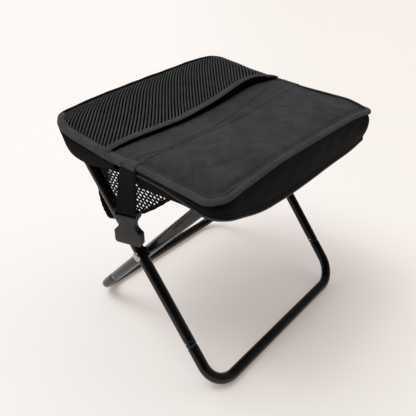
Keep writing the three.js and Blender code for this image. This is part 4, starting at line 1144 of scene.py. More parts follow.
class RowRecipe(Recipe):
    """Row of small rounded bodies along each path, such as stitches or zipper coils."""

    inputs = {"Pitch": 0.0036, "Along": 0.0026, "Across": 0.0006, "Rise": 0.0006, "Up": (0, 0, 1),
              "Uneven": 0.12, "Seed": 7}

    def build(self, graph: NodeGraph, given: dict) -> NodeSocket:
        """Adds the nodes that set the bodies along the path.

        Args:
            graph: Graph of the tree.
            given: Sockets of its inputs.

        Returns:
            The row.
        """
        turn = "FunctionNodeAlignRotationToVector"
        curve = graph.node("GeometryNodeMeshToCurve", {0: given["Paths"]})
        feeds = {"Curve": curve.outputs[0], "Length": given["Pitch"]}
        beads = graph.node("GeometryNodeResampleCurve", feeds, mode="LENGTH")
        ball = graph.node("GeometryNodeMeshUVSphere", {"Segments": 6, "Rings": 4, "Radius": 0.5})
        tangent = graph.node("GeometryNodeInputTangent")
        first = graph.node(turn, {"Vector": tangent.outputs[0]}, axis="Z")
        feeds = {"Rotation": first.outputs[0], "Vector": given["Up"]}
        second = graph.node(turn, feeds, axis="Y", pivot_axis="Z")
        feeds = {2: graph.math("SUBTRACT", 1.0, given["Uneven"]),
                 3: graph.math("ADD", 1.0, given["Uneven"]), "Seed": given["Seed"]}
        chance = graph.node("FunctionNodeRandomValue", feeds, data_type="FLOAT")
        length = graph.math("MULTIPLY", given["Along"], chance.outputs[1])
        size = graph.node("ShaderNodeCombineXYZ", {0: given["Across"], 1: given["Rise"], 2: length})
        feeds = {"Points": beads.outputs[0], "Instance": ball.outputs[0], "Rotation": second.outputs[0],
                 "Scale": size.outputs[0]}
        return graph.node("GeometryNodeInstanceOnPoints", feeds).outputs[0]


class MarkRecipe(Recipe):
    """Shallow domes at points, turned to face the way that the points' facing says."""

    inputs = {"Width": 0.0036, "Rise": 0.0008}

    def build(self, graph: NodeGraph, given: dict) -> NodeSocket:
        """Adds the nodes that set the domes at the points.

        Args:
            graph: Graph of the tree.
            given: Sockets of its inputs.

        Returns:
            The domes.
        """
        dome = graph.node("GeometryNodeMeshUVSphere", {"Segments": 20, "Rings": 10, "Radius": 0.5})
        facing = graph.node("GeometryNodeInputNamedAttribute", {"Name": "facing"}, data_type="FLOAT_VECTOR")
        feeds = {"Vector": facing.outputs["Attribute"]}
        turn = graph.node("FunctionNodeAlignRotationToVector", feeds, axis="Z")
        size = graph.node("ShaderNodeCombineXYZ", {0: given["Width"], 1: given["Width"], 2: given["Rise"]})
        feeds = {"Points": given["Paths"], "Instance": dome.outputs[0], "Rotation": turn.outputs[0],
                 "Scale": size.outputs[0]}
        return graph.node("GeometryNodeInstanceOnPoints", feeds).outputs[0]


TUBES = TubeRecipe("tube_along_path")
ROWS = RowRecipe("row_along_path")
MARKS = MarkRecipe("marks_at_points")


def lathe_x(profile: Sequence[tuple[float, float]]) -> Shell:
    """Turned body round the X axis through the pivots.

    Args:
        profile: Pairs of radius and place along X.

    Returns:
        The shell.
    """
    sides = 40
    angle = np.linspace(0, 2 * math.pi, sides, endpoint=False)
    rings = []
    for radius, along in profile:
        ring = [np.full(sides, along), radius * np.cos(angle), SIZES.pivot_z + radius * np.sin(angle)]
        rings.append(np.stack(ring, axis=1))
    return Shell.loft(np.array(rings))


def softened(node: str, name: str, finish: Finish, width: float, segments: int) -> Object:
    """Copy of a CAD node with merged points and rounded edges.

    Args:
        node: The CAD node.
        name: Name of the piece.
        finish: Its finish.
        width: How far an edge is rounded.
        segments: Steps of the rounding.

    Returns:
        The object.
    """
    piece = bpy.data.objects.new(name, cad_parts[node].data.copy())
    bpy.context.scene.collection.objects.link(piece)
    body = bmesh.new()
    body.from_mesh(piece.data)
    bmesh.ops.remove_doubles(body, verts=body.verts, dist=1e-6)
    bmesh.ops.dissolve_limit(body, angle_limit=math.radians(1.5), verts=body.verts, edges=body.edges)
    bmesh.ops.recalc_face_normals(body, faces=body.faces)
    sharp = [e for e in body.edges if len(e.link_faces) == 2 and e.calc_face_angle(0) > math.radians(28)]
    bmesh.ops.bevel(body, geom=sharp, offset=width, segments=segments, profile=0.6, affect="EDGES",
                    clamp_overlap=True)
    body.to_mesh(piece.data)
    body.free()
    mesh = piece.data
    mesh.materials.clear()
    mesh.materials.append(finish.material())
    for face in mesh.polygons:
        face.material_index = 0
    mesh.shade_smooth()
    mesh.set_sharp_from_angle(angle=math.radians(35))
    return piece


def edge_roll(edge: tuple, width: float, drop: float, rise: Array, flare: Array = 0.0) -> Shell:
    """Tape folded over an edge.

    Args:
        edge: Base places, inward directions and shares of the way along.
        width: How far the tape reaches over the top.
        drop: How far it hangs down outside.
        rise: How thick it lies.
        flare: How far its outer side stands out.

    Returns:
        The shell.
    """
    base, inward, share = edge
    profile = [(width, 0.1), (0.85 * width, 0.8), (0.5 * width, 1.0), (0.2 * width, 1.0), (0, 0.75)]
    lower = [(-0.0011, -0.0004), (-0.0016, -0.0019), (-0.0015, -0.8 * drop), (-0.0009, -drop),
             (0.0004, -drop), (0.0006, -0.003), (0.0014, -0.0018), (0.5 * width, -0.0008),
             (0.92 * width, -0.0007)]
    ripple = 1 + 0.05 * np.sin(share * 97) + 0.04 * np.sin(share * 41 + 1)
    rings = []
    raised = [(i, h * rise * ripple) for i, h in profile] + lower
    for inset, lift in raised:
        out = np.broadcast_to(flare * (1 - np.clip(inset / width, 0, 1)), share.shape)
        spot = base + inward * (inset - out)[:, None]
        held = base + inward * max(inset, 0)
        height = SEAT.top(held[:, 0], held[:, 1]) + lift
        rings.append(np.column_stack([spot, height]))
    return Shell.loft(np.stack(rings, axis=1))


def wall_between(outline: Outline, top: Array, bottom: Array, bulge: Array,
                 span: tuple = (0.0, 1.0)) -> Shell:
    """Soft wall round an edge, between two heights, that bulges outward.

    Args:
        outline: The edge.
        top: Heights of its upper edge.
        bottom: Heights of its lower edge.
        bulge: How far the wall stands out half way down.
        span: Shares of the height between which it is made, as numbers or one for each place.

    Returns:
        The shell.
    """
    steps, fold = 10, 0.0006
    base, inward, share = outline.stations()
    start, stop = (np.asarray(part, float) + 0 * share for part in span)
    down = start + (stop - start) * np.linspace(0, 1, steps + 1)[:, None]
    folds = fold * np.sin(share * 60 + 3 * down) * np.sin(share * 23 + 5 * down)
    out = np.sin(np.pi * down**0.85) * (bulge[None, :] + folds) - 0.0024 * np.exp(-down / 0.2)
    height = top[None, :] + (bottom - top)[None, :] * down
    outer = np.dstack([base[None, :, 0] - inward[None, :, 0] * out,
                       base[None, :, 1] - inward[None, :, 1] * out, height])
    return Shell.slab(outer, outer + WALL_THICKNESS * np.pad(inward, ((0, 0), (0, 1))))


def swollen(piece: Object, pressure: float, rise: float, held: Array) -> None:
    """Blows a pad up as cloth and keeps the result.

    Args:
        piece: The pad.
        pressure: Pressure inside.
        rise: The most that a point may move.
        held: Whether each point is sewn fast.
    """
    start = np.array([v.co for v in piece.data.vertices], float)
    sewn = piece.vertex_groups.new(name="sewn")
    sewn.add([int(k) for k in np.nonzero(held)[0]], 1.0, "REPLACE")
    cloth = piece.modifiers.new("cloth", "CLOTH").settings
    settings = {"quality": 6, "mass": 0.25, "tension_stiffness": 12, "compression_stiffness": 12,
                "bending_stiffness": 0.6, "use_pressure": True, "uniform_pressure_force": pressure,
                "vertex_group_mass": "sewn"}
    for key, value in settings.items():
        setattr(cloth, key, value)
    cloth.effector_weights.gravity = 0
    for step in range(1, 21):
        bpy.context.scene.frame_set(step)
    graph = bpy.context.evaluated_depsgraph_get()
    moved = np.array([v.co for v in piece.evaluated_get(graph).data.vertices], float) - start
    length = np.linalg.norm(moved, axis=1, keepdims=True)
    moved *= np.minimum(1, rise / np.maximum(length, 1e-9))
    piece.modifiers.clear()
    piece.vertex_groups.clear()
    piece.data.vertices.foreach_set("co", (start + moved).astype(np.float32).ravel())
    bpy.context.scene.frame_set(1)


def refined(piece: Object) -> None:
    """Applies one smooth subdivision.

    Args:
        piece: The piece.
    """
    finer = piece.modifiers.new("finer", "SUBSURF")
    finer.levels = 1
    finer.render_levels = 1
    graph = bpy.context.evaluated_depsgraph_get()
    plain = bpy.data.meshes.new_from_object(piece.evaluated_get(graph), depsgraph=graph)
    piece.modifiers.clear()
    piece.data = plain


def distance_to(points: Array, path: Array) -> Array:
    """Distance in plan from points to a path.

    Args:
        points: Places (n, 2).
        path: Path (k, 2).

    Returns:
        Distances (n).
    """
    best = np.full(len(points), 1e9)
    for a, b in zip(path[:-1], path[1:]):
        run = b - a
        part = np.clip(((points - a) @ run) / max(run @ run, 1e-12), 0, 1)
        best = np.minimum(best, np.linalg.norm(points - (a + part[:, None] * run), axis=1))
    return best


def smooth_path(corners: Sequence[tuple[float, float]], steps: int = 60) -> Array:
    """Smooth path through points in plan.

    Args:
        corners: Points, in millimetres.
        steps: Points of the result.

    Returns:
        Path (steps, 2), in metres.
    """
    points = np.array(corners, float) / 1000
    padded = np.vstack([2 * points[0] - points[1], points, 2 * points[-1] - points[-2]])
    out = []
    for place in np.linspace(0, len(points) - 1 - 1e-9, steps):
        k = int(place)
        t = place - k
        p0, p1, p2, p3 = padded[k:k + 4]
        out.append(0.5 * (2 * p1 + (p2 - p0) * t + (2 * p0 - 5 * p1 + 4 * p2 - p3) * t**2
                          + (3 * p1 - p0 - 3 * p2 + p3) * t**3))
    return np.array(out)


@dataclass
class LegFrame:
    """One tube frame: an upper tube with the top bar, and a foot tube swaged into it."""

    name: str
    body: str
    leg_x: float
    turned: bool
    bend_steps: int = 16
    crimp_past: float = 0.007

    def placed(self, flat: Array) -> Array:
        """Moves places in the frame's own plane to their lean.

        Args:
            flat: Places across and along the legs (n, 2).

        Returns:
            Points (n, 3).
        """
        sign = -1 if self.turned else 1
        lean = SIZES.lean
        return np.column_stack([sign * flat[:, 0], sign * flat[:, 1] * math.sin(lean),
                                SIZES.pivot_z + flat[:, 1] * math.cos(lean)])

    def u_path(self, stops: Sequence[tuple[float, float]], bar: float, radius: float
               ) -> tuple[Array, Array]:
        """Path up one leg, along the bar and down the other leg.

        Args:
            stops: Places along the leg from its open end, each with the tube's girth there.
            bar: Place of the bar along the legs.
            radius: Radius of the bends.

        Returns:
            Places (n, 2) and girths (n).
        """
        side = 1 if bar > 0 else -1
        leg = [(self.leg_x, z) for z, _ in stops]
        girth = [g for _, g in stops]
        turn = np.linspace(0, math.pi / 2, self.bend_steps + 1)
        x = self.leg_x - radius + radius * np.cos(turn)
        z = bar - side * radius * (1 - np.sin(turn))
        first = leg + list(zip(x, z))
        girth = girth + [1.0] * len(turn)
        second = [(-a, b) for a, b in reversed(first)]
        return np.array(first + second), np.array(girth + girth[::-1])

    def build(self) -> None:
        """Makes both tubes and their crimp marks."""
        joint = -SIZES.pivot_to_joint
        upper = [(joint, 0.93), (joint + 0.0005, 0.985), (joint + 0.002, 1.0), (-0.02, 1.0), (0.02, 1.0)]
        foot = [(joint + 0.01, 0.83), (joint - 0.0002, 0.83), (joint - 0.0012, 0.9), (joint - 0.003, 0.97),
                (joint - 0.005, 1.0)]
        for part, stops, bar, radius in (("upper", upper, SIZES.pivot_to_top, SIZES.top_bend_r),
                                         ("foot", foot, -SIZES.pivot_to_foot, SIZES.foot_bend_r)):
            flat, girth = self.u_path(stops, bar, radius)
            piece = TUBES.made(f"{self.name}_tube_{part}", [self.placed(flat)], POWDER,
                               numbers={"girth": girth}, Radius=SIZES.tube_r, Sides=32)
            settle(piece, self.body, POWDER, f"{self.name}_frame_{part}")
        places, facing = [], []
        for side in Side:
            for out in Side:
                x = side.value * self.leg_x + out.value * (SIZES.tube_r - 0.0001)
                places.append(self.placed(np.array([[x, joint + self.crimp_past]]))[0])
                facing.append((out.value * (-1 if self.turned else 1), 0, 0))
        piece = MARKS.made(f"{self.name}_crimps", [np.array(places)[k:k + 1] for k in range(4)], RIVET,
                           numbers={"facing": np.array(facing, float)}, Width=0.0034, Rise=0.0011)
        settle(piece, self.body, POWDER)


@dataclass
class Pivots:
    """Rivets through the crossing legs."""

    head_r: float = 0.007
    head_rise: float = 0.0032
    shank_r: float = 0.003
    tail_r: float = 0.005
    tail_rise: float = 0.002
    tube_face: float = 0.0081

    def build(self) -> None:
        """Makes a domed rivet at each side, and gives the washers their finish."""
        face = SIZES.outer_leg_x + self.tube_face
        tail = SIZES.inner_leg_x - self.tube_face
        turn = np.linspace(0.02, math.pi / 2, 12)
        for side in Side:
            dome = [(self.head_r * math.sin(t), face + 0.0004 + (self.head_rise - 0.0004) * math.cos(t))
                    for t in turn]
            rest = [(self.head_r, face + 0.0001), (self.head_r * 0.9, face), (self.shank_r, face),
                    (self.shank_r, tail), (self.tail_r * 0.9, tail), (self.tail_r, tail - 0.0004),
                    (self.tail_r * 0.85, tail - self.tail_rise), (0.0001, tail - self.tail_rise)]
            profile = [(radius, side.value * along) for radius, along in dome + rest]
            name = f"pivot_rivet_{side.name.lower()}"
            settle(lathe_x(profile).made(f"domed_{name}", RIVET, 30), "root", RIVET, name)
            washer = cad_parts[f"pivot_washer_{side.name.lower()}"]
            for place in washer.material_slots:
                place.material = WASHER.material()


@dataclass
class Lid:
    """Padded lid over the front half, with its liner, binding, stitching and hanging wall."""

    body: str = "lid"
    columns: int = 72
    pressure: float = 4.0
    rise: float = 0.003
    stitch_inset: float = 0.0115
    hem_width: float = 0.0054
    hem_drop: float = 0.0028
    hem_rise: float = 0.0016
    hem_stitch: float = 0.0047

    def grid(self, inset: float, start: float) -> tuple[Array, Array]:
        """Places of a grid over the front half, drawn in by an inset, from a first row."""
        rows = seat_rows(start, SIZES.seat_front - inset, SIZES.front_left_r - inset, 18, 9)
        return front_place(np.linspace(0, 1, self.columns + 1)[None, :], rows[:, None], inset)

    def creases(self) -> list[tuple[Array, float, float]]:
        """Lines pressed into the pad.

        Returns:
            Each line's path in plan, depth and width.
        """
        base, inward, _ = FRONT_EDGE.stations(0.004)
        seam = base + inward * self.stitch_inset
        across = smooth_path([(88, -17), (96, -35), (97, -60), (91, -95), (88, -128)])
        corner = smooth_path([(-161, -50), (-151, -65), (-139, -78), (-122, -94), (-98, -102), (-70, -106)])
        return [(seam, 0.0013, 0.0022), (across, 0.0013, 0.006), (corner, 0.001, 0.005)]

    def pad(self) -> Object:
        """The stuffed pad, swollen as cloth, with its seams pressed in.

        Returns:
            The settled piece.
        """
        x, y = self.grid(0.0022, 0.01508)
        edge = np.minimum(y[0] - y, 0.0126) / 0.0126
        top = SEAT.top(x, y) - 0.0001 - 0.001 * edge
        bottom = np.minimum(SEAT.lid_underside(x, y) + 0.0016, top - 0.0035)
        piece = Shell.layer(x, y, top, bottom).made("lid_pad", CANVAS)
        border = np.zeros(x.shape, bool)
        border[:2] = border[-2:] = True
        border[:, :2] = border[:, -2:] = True
        swollen(piece, self.pressure, self.rise, np.concatenate([border.ravel(), np.ones(x.size, bool)]))
        refined(piece)
        mesh = piece.data
        points = np.array([v.co for v in mesh.vertices], float)
        plan = points[:, :2] - [0, SHIFT]
        upper = points[:, 2] > SEAT.top(plan[:, 0], plan[:, 1]) - 0.0032
        change = np.zeros(len(points))
        for path, depth, width in self.creases():
            change -= depth * np.exp(-(distance_to(plan, path) / width) ** 2)
        soft = [noise.noise(Vector((p[0] * 30, p[1] * 34, 0.3))) for p in plan]
        small = [noise.noise(Vector((p[0] * 90, p[1] * 80, 4.1))) for p in plan]
        change += 0.001 * np.array(soft) + 0.0003 * np.array(small)
        change *= np.clip((-0.0152 - plan[:, 1]) / 0.01, 0, 1)
        points[:, 2] += np.where(upper, change, 0)
        mesh.vertices.foreach_set("co", points.astype(np.float32).ravel())
        mesh.shade_smooth()
        return settle(piece, self.body, CANVAS, "lid_cover", "lid_foam")

    def build(self) -> None:
        """Makes every piece of the lid."""
        pad = self.pad()
        graph = bpy.context.evaluated_depsgraph_get()
        skin = BVHTree.FromObject(pad, graph)

        def draped(x: float, y: float) -> tuple[float, float, float]:
            """Point just over the pad at a place in plan."""
            hit = skin.ray_cast(Vector((x, y + SHIFT, 0.5)), Vector((0, 0, -1)))[0]
            return x, y, (hit.z if hit else float(SEAT.top(x, y))) + 0.0001

        base, inward, share = FRONT_EDGE.stations()
        seam = np.array([draped(x, y) for x, y in (base + inward * self.stitch_inset)[3:-3]])
        row = ROWS.made("lid_topstitch", [seam], LID_THREAD, Pitch=0.0043, Along=0.0033, Across=0.0008,
                        Rise=0.0007)
        settle(row, self.body, LID_THREAD)
        x, y = self.grid(0.012, 0.022)
        under = SEAT.lid_underside(x, y)
        wave = 0.0003 * np.sin(x * 260) * np.sin(y * 300)
        self.seam()
        liner = Shell.layer(x, y, under + 0.0011, under + wave)
        liner.settled("lid_liner_foil", self.body, FOIL, "lid_liner")
        near = np.linalg.norm(base - [SIZES.seat_half, -SIZES.seat_front], axis=1)
        flare = 0.0042 * np.exp(-((near / 0.011) ** 2))
        roll = edge_roll((base, inward, share), self.hem_width, self.hem_drop, self.hem_rise, flare)
        roll.settled("lid_hem", self.body, TAPE, "lid_binding")
        hem = base + inward * self.hem_stitch
        height = SEAT.top(hem[:, 0], hem[:, 1]) + 0.0019
        row = ROWS.made("lid_hem_stitch", [np.column_stack([hem, height])], LID_THREAD, Pitch=0.0036,
                        Along=0.0026, Across=0.0006, Rise=0.0006)
        settle(row, self.body, TAPE)
        bulge = 0.0014 + 0.0042 * np.exp(-((near / 0.05) ** 2))
        top, low = wall_top(base) + 0.0016, zipper_line(base, share) + 0.0024
        cut = np.clip((top - FOLD_Z) / (top - low), 0.02, 0.98)
        upper = wall_between(FRONT_EDGE, top, low, bulge, span=(0, cut))
        upper.settled("lid_wall", self.body, WALL_WITH_PAINTED_SHADE, "lid_gusset")
        lower = wall_between(FRONT_EDGE, top, low, bulge, span=(cut, 1))
        piece = lower.settled("lid_wall_edge", self.body, WALL_WITH_PAINTED_SHADE)
        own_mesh(piece)

    def seam(self) -> None:
        """Folded seam over the hinge."""
        x = np.linspace(-0.1685, 0.1685, 90)[None, :] * np.ones((7, 1))
        y = -np.array([0.0128, 0.0134, 0.0142, 0.0151, 0.0164, 0.0174, 0.018])[:, None] + 0 * x
        lift = np.array([-0.0008, -0.0001, 0.0003, 0.0004, 0.0002, -0.0002, -0.001])[:, None]
        height = SEAT.top(x, y) + lift
        piece = Shell.layer(x, y, height, height - 0.0005).made("hinge_seam", CANVAS)
        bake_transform(piece)
        LOG.info("%s bends between front_seat and lid", piece.name)


@dataclass
class FrontSeat:
    """What hangs from the front bar: sleeve, floor, liner, skirt and zipper."""

    body: str = "front_seat"
    skirt_inset: float = 0.0045
    skirt_front: float = 0.0185
    skirt_corner: float = 0.0115

    def skirt(self) -> Shell:
        """Strip from the zipper in and across to the floor's edge, or up towards the front sleeve.

        Returns:
            The shell.
        """
        base, inward, share = FRONT_EDGE.stations()
        x, y = base[:, 0], base[:, 1]
        forward = eased_step(-y, 0.084, 0.135)
        corner = eased_step(np.abs(x), 0.114, 0.144)
        line = zipper_line(base, share)
        before = self.skirt_front + (self.skirt_corner - self.skirt_front) * corner
        inset = self.skirt_inset + (before - self.skirt_inset) * forward
        inner = SEAT.floor_top(y) - 0.004
        inner = inner + (SIZES.bar_z - (0.009 + 0.003 * corner) - inner) * forward
        low = np.minimum(line, inner) - 0.0045
        rows = []
        for t in np.linspace(0, 1, 9):
            a, b, c = (1 - t) ** 2, 2 * t * (1 - t), t**2
            away = a * 0.0003 + b * -0.0005 + c * inset
            height = a * (line - 0.0026) + b * low + c * inner
            rows.append(np.column_stack([base + inward * away[:, None], height]))
        outer = np.array(rows)
        inside = outer.copy()
        inside[:, :, :2] += inward[None] * 0.0009
        inside[:, :, 2] += 0.0008
        return Shell.slab(outer, inside)

    def build(self) -> None:
        """Makes every piece that rides on the front bar."""
        slung = Slung(SIZES.inner_leg_x, Half.FRONT)
        slung.sleeve().settled("front_sleeve", self.body, WALL_WITH_PAINTED_SHADE, "front_bar_sleeve")
        slung.floor(-0.0063, -0.0013).settled("front_floor", self.body, WALL_WITH_PAINTED_SHADE, "cooler_floor")
        slung.floor(-0.001, 0.0).settled("floor_foil", self.body, FOIL, "floor_liner")
        base, inward, share = FRONT_EDGE.stations()
        line = zipper_line(base, share)
        skirt = self.skirt().settled("lower_wall", self.body, WALL_WITH_PAINTED_SHADE, "seat_skirt")
        tape = []
        for inset in (-0.0005, 0.0007):
            rows = [(0.0058, 0), (0.002, 0), (-0.0015, 0), (-0.0028, 0.0012), (-0.0031, 0.005)]
            rows = [np.column_stack([base + inward * (inset + more), line + h]) for h, more in rows]
            tape.append(np.array(rows))
        tape = Shell.slab(*tape).settled("zipper_strip", self.body, ZIP_TAPE, "zipper_chain")
        rows = [np.column_stack([base - inward * 0.0006, line - 0.0016])]
        coil = ROWS.made("zipper_teeth", rows, COIL, Pitch=0.0021, Along=0.0013, Across=0.0018, Rise=0.0036,
                         Uneven=0.0)
        rows = [np.column_stack([base - inward * 0.0007, line + 0.0046])]
        seams = ROWS.made("zipper_stitches", rows, LID_THREAD, Pitch=0.0034, Along=0.0024, Across=0.0005,
                          Rise=0.0005)
        settle(coil, self.body, COIL)
        settle(seams, self.body, ZIP_TAPE)
        for piece in (skirt, tape, coil, seams):
            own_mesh(piece)


@dataclass
class Slung:
    """Sleeve round a top bar and the floor slung from it."""

    leg_x: float
    half: Half
    gap: float = 0.031
    columns: int = 40
    sides: int = 28
    sleeve_r: float = 0.0096

    @property
    def reach(self) -> float:
        """Half of the sleeve's length, up to the bends of the bar."""
        return self.leg_x - SIZES.top_bend_r - 0.004

    def sleeve(self) -> Shell:
        """Sleeve sewn round the bar, a little gathered.

        Returns:
            The shell.
        """
        reach = self.reach
        angle = np.linspace(0, 2 * math.pi, self.sides, endpoint=False)
        rings = []
        for x in np.linspace(-reach, reach, 90):
            gather = 0.0003 * math.sin(x * 420) + 0.0002 * math.sin(x * 157 + 1)
            ease = 0.0006 * max(abs(x) / reach - 0.97, 0) / 0.03
            radius = self.sleeve_r + gather * np.sin(2 * angle + 40 * x) - ease
            y = self.half.value * SIZES.bar_y + radius * np.cos(angle)
            rings.append(np.column_stack([np.full(self.sides, x), y, SIZES.bar_z + radius * np.sin(angle)]))
        return Shell.loft(np.array(rings))

    def floor(self, low: float, high: float) -> Shell:
        """Floor from the middle gap to the sleeve.

        Args:
            low: Its underside over the floor's drawn face.
            high: Its upper side.

        Returns:
            The shell.
        """
        last = SIZES.bar_y - SIZES.sleeve_reach
        rows = np.concatenate([np.linspace(self.gap, 0.084, 18), np.linspace(0.086, last, 8)])
        part = np.clip((0.096 - rows) / 0.012, 0, 1)
        half = self.reach + (0.166 - self.reach) * part
        u = np.linspace(-1, 1, self.columns + 1)
        x = half[:, None] * u[None, :]
        y = self.half.value * rows[:, None] + 0 * x
        soft = 0.0007 * np.sin(x * 60) * np.sin(y * 90)
        z = SEAT.floor_top(y)
        return Shell.layer(x, y, z + high, z + low + soft)


@dataclass
class RearSeat:
    """Rear half of the seat top with its pocket, bindings and walls, and the bands across the middle."""

    body: str = "rear_seat"
    columns: int = 70
    net_thickness: float = 0.0007
    panel_thickness: float = 0.0028
    band_thickness: float = 0.0016
    hem_width: float = 0.0092
    hem_drop: float = 0.0048
    hem_stitch: float = 0.0079
    painted_shade_from: float = 0.162
    mouth_half: float = 0.0056

    def grid(self, start: float, inset: float) -> tuple[Array, Array]:
        """Places of a grid over the rear half, from a row in front of or at the pocket's mouth."""
        rows = seat_rows(start, SIZES.seat_rear - inset, SIZES.rear_left_r - inset, 24, 12)
        return rear_place(np.linspace(0, 1, self.columns + 1)[None, :], rows[:, None], inset)

    def soft(self, x: Array, y: Array) -> Array:
        """Small waves of the panel's cloth."""
        return 0.0004 * np.sin(x * 42 + 2 * np.sin(y * 41)) * np.sin(y * 63 + 1)

    def net_height(self, x: Array, y: Array) -> Array:
        """Underside of the net."""
        return SEAT.top(x, y) + 0.0008 + SEAT.pocket_bow(x, y) + 0.6 * np.abs(self.soft(x, y))

    def build(self) -> None:
        """Makes every piece of the rear half."""
        slung = Slung(SIZES.outer_leg_x, Half.REAR)
        slung.sleeve().settled("rear_sleeve", self.body, WALL_WITH_PAINTED_SHADE, "rear_bar_sleeve")
        slung.floor(-0.005, 0.0).settled("rear_slung_floor", self.body, WALL_WITH_PAINTED_SHADE, "rear_floor")
        x, y = self.grid(0.01502, 0.0022)
        height = SEAT.top(x, y) + np.minimum(self.soft(x, y), 0)
        panel = Shell.layer(x, y, height, height - self.panel_thickness)
        panel = panel.settled("rear_cloth", self.body, CANVAS, "rear_panel")
        # Faces behind the pocket's mouth take the darkened canvas: painted shade under the net
        panel.data.materials.append(PAINTED_SHADE_CANVAS.material())
        for face in panel.data.polygons:
            face.material_index = int(face.center.y - SHIFT > SEAT.pocket_mouth(face.center.x) - 0.003)
        self.pocket()
        base, inward, share = REAR_EDGE.stations()
        rise = 0.0022 + 0.0018 * eased_step(base[:, 1], 0.12, 0.165)
        roll = edge_roll((base, inward, share), self.hem_width, self.hem_drop, rise)
        roll = roll.settled("rear_hem", self.body, TAPE, "rear_binding")
        # The hem's rear end takes the black tape as painted shade
        roll.data.materials.append(BLACK_TAPE_AND_PAINTED_SHADE.material())
        for face in roll.data.polygons:
            face.material_index = int(face.center.y - SHIFT > self.painted_shade_from)
        hem = base + inward * self.hem_stitch
        rows = [np.column_stack([hem, SEAT.top(hem[:, 0], hem[:, 1]) + 0.0021])]
        row = ROWS.made("rear_hem_stitch", rows, TAPE_THREAD, Pitch=0.0038, Along=0.0028, Across=0.0006,
                        Rise=0.0006)
        settle(row, self.body, TAPE)
        part = (base[:, 1] - SIZES.middle) / (SIZES.seat_rear - SIZES.middle)
        drawn = SIZES.bar_z - SIZES.rear_wall_drop * read_shares(REAR_WALL_SHARES, part)
        bottom = np.minimum(drawn, wall_top(base) - 0.0015)
        wall = wall_between(REAR_EDGE, wall_top(base) + 0.0014, bottom, np.full(len(base), 0.0014))
        wall.settled("rear_wall", self.body, WALL_WITH_PAINTED_SHADE, "rear_gusset")
        self.bands()

    def pocket(self) -> None:
        """Net pocket and the binding on its mouth."""
        x, y = self.grid(SIZES.pocket_row, 0.0026)
        low = self.net_height(x, y)
        net = Shell.layer(x, y, low + self.net_thickness, low)
        piece = net.settled("pocket_net_sheet", self.body, POCKET_NET, "mesh_pocket")
        u = np.linspace(-1, 1, 90)
        span = (SIZES.seat_half - 0.003) * u
        mouth = SEAT.pocket_mouth(span)
        rings = []
        for angle in np.linspace(0, 2 * math.pi, 14, endpoint=False):
            along = mouth - 0.0003 + self.mouth_half * math.cos(angle)
            lift = 0.0013 + 0.0012 * math.sin(angle)
            held = self.net_height(span, np.maximum(along, mouth))
            rings.append(np.column_stack([span, along, held + lift]))
        mouth_roll = Shell.loft(np.stack(rings, axis=1))
        mouth_roll = mouth_roll.settled("pocket_hem", self.body, TAPE, "pocket_binding")
        paths = []
        for offset in (-0.0028, 0.0026):
            along = mouth + offset
            held = self.net_height(span, np.maximum(along, mouth)) + 0.0025
            paths.append(np.column_stack([span, along, held]))
        row = ROWS.made("pocket_hem_stitch", paths, TAPE_THREAD, Pitch=0.0036, Along=0.0026, Across=0.0005,
                        Rise=0.0005)
        settle(row, self.body, TAPE)

    def bands(self) -> None:
        """Cloth across the middle above, and the floor's band below."""
        u = np.linspace(-1, 1, 80)
        y = np.linspace(-0.0149, 0.015, 9)
        x = (SIZES.seat_half - 0.0004) * u[None, :] + 0 * y[:, None]
        y = y[:, None] + 0 * x
        height = SEAT.top(x, y) + np.minimum(self.soft(x, y), 0)
        band = Shell.layer(x, y, height, height - self.band_thickness)
        pieces = [band.settled("centre_cloth", self.body, CANVAS, "centre_band")]
        seam = smooth_path([(-160, -2), (-150, -4), (-140, -10), (-128, -13), (-100, -13), (-60, -11),
                            (-26, -9), (44, 3), (86, 8), (124, 13)], 160)
        path = np.column_stack([seam, SEAT.top(seam[:, 0], seam[:, 1]) + 0.0002])
        row = ROWS.made("hinge_stitch", [path], LID_THREAD, Pitch=0.0044, Along=0.0033, Across=0.0008,
                        Rise=0.0008)
        pieces.append(settle(row, self.body, LID_THREAD))
        y = np.linspace(-0.0307, 0.0307, 15)
        x = 0.1655 * u[None, :] + 0 * y[:, None]
        y = y[:, None] + 0 * x
        height = SEAT.floor_top(y)
        floor = Shell.layer(x, y, height, height - self.band_thickness)
        pieces.append(floor.settled("floor_cloth", self.body, WALL_WITH_PAINTED_SHADE, "floor_band"))
        anchors = (0.015, 0.015, 0.0307, 0.015, 0.015)
        for side in Side:
            y = np.linspace(side.value * -0.0151, side.value * 0.0149, 12)
            edge = (np.column_stack([np.full(12, side.value * SIZES.seat_half), y]),
                    np.tile([-side.value, 0], (12, 1)), np.linspace(0, 1, 12))
            hem = edge_roll(edge, 0.0085, 0.005, 0.0022, 0.0016)
            pieces.append(hem.settled(f"centre_hem_{side.name.lower()}", self.body, TAPE))
        for piece, anchor in zip(pieces, anchors):
            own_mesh(piece)


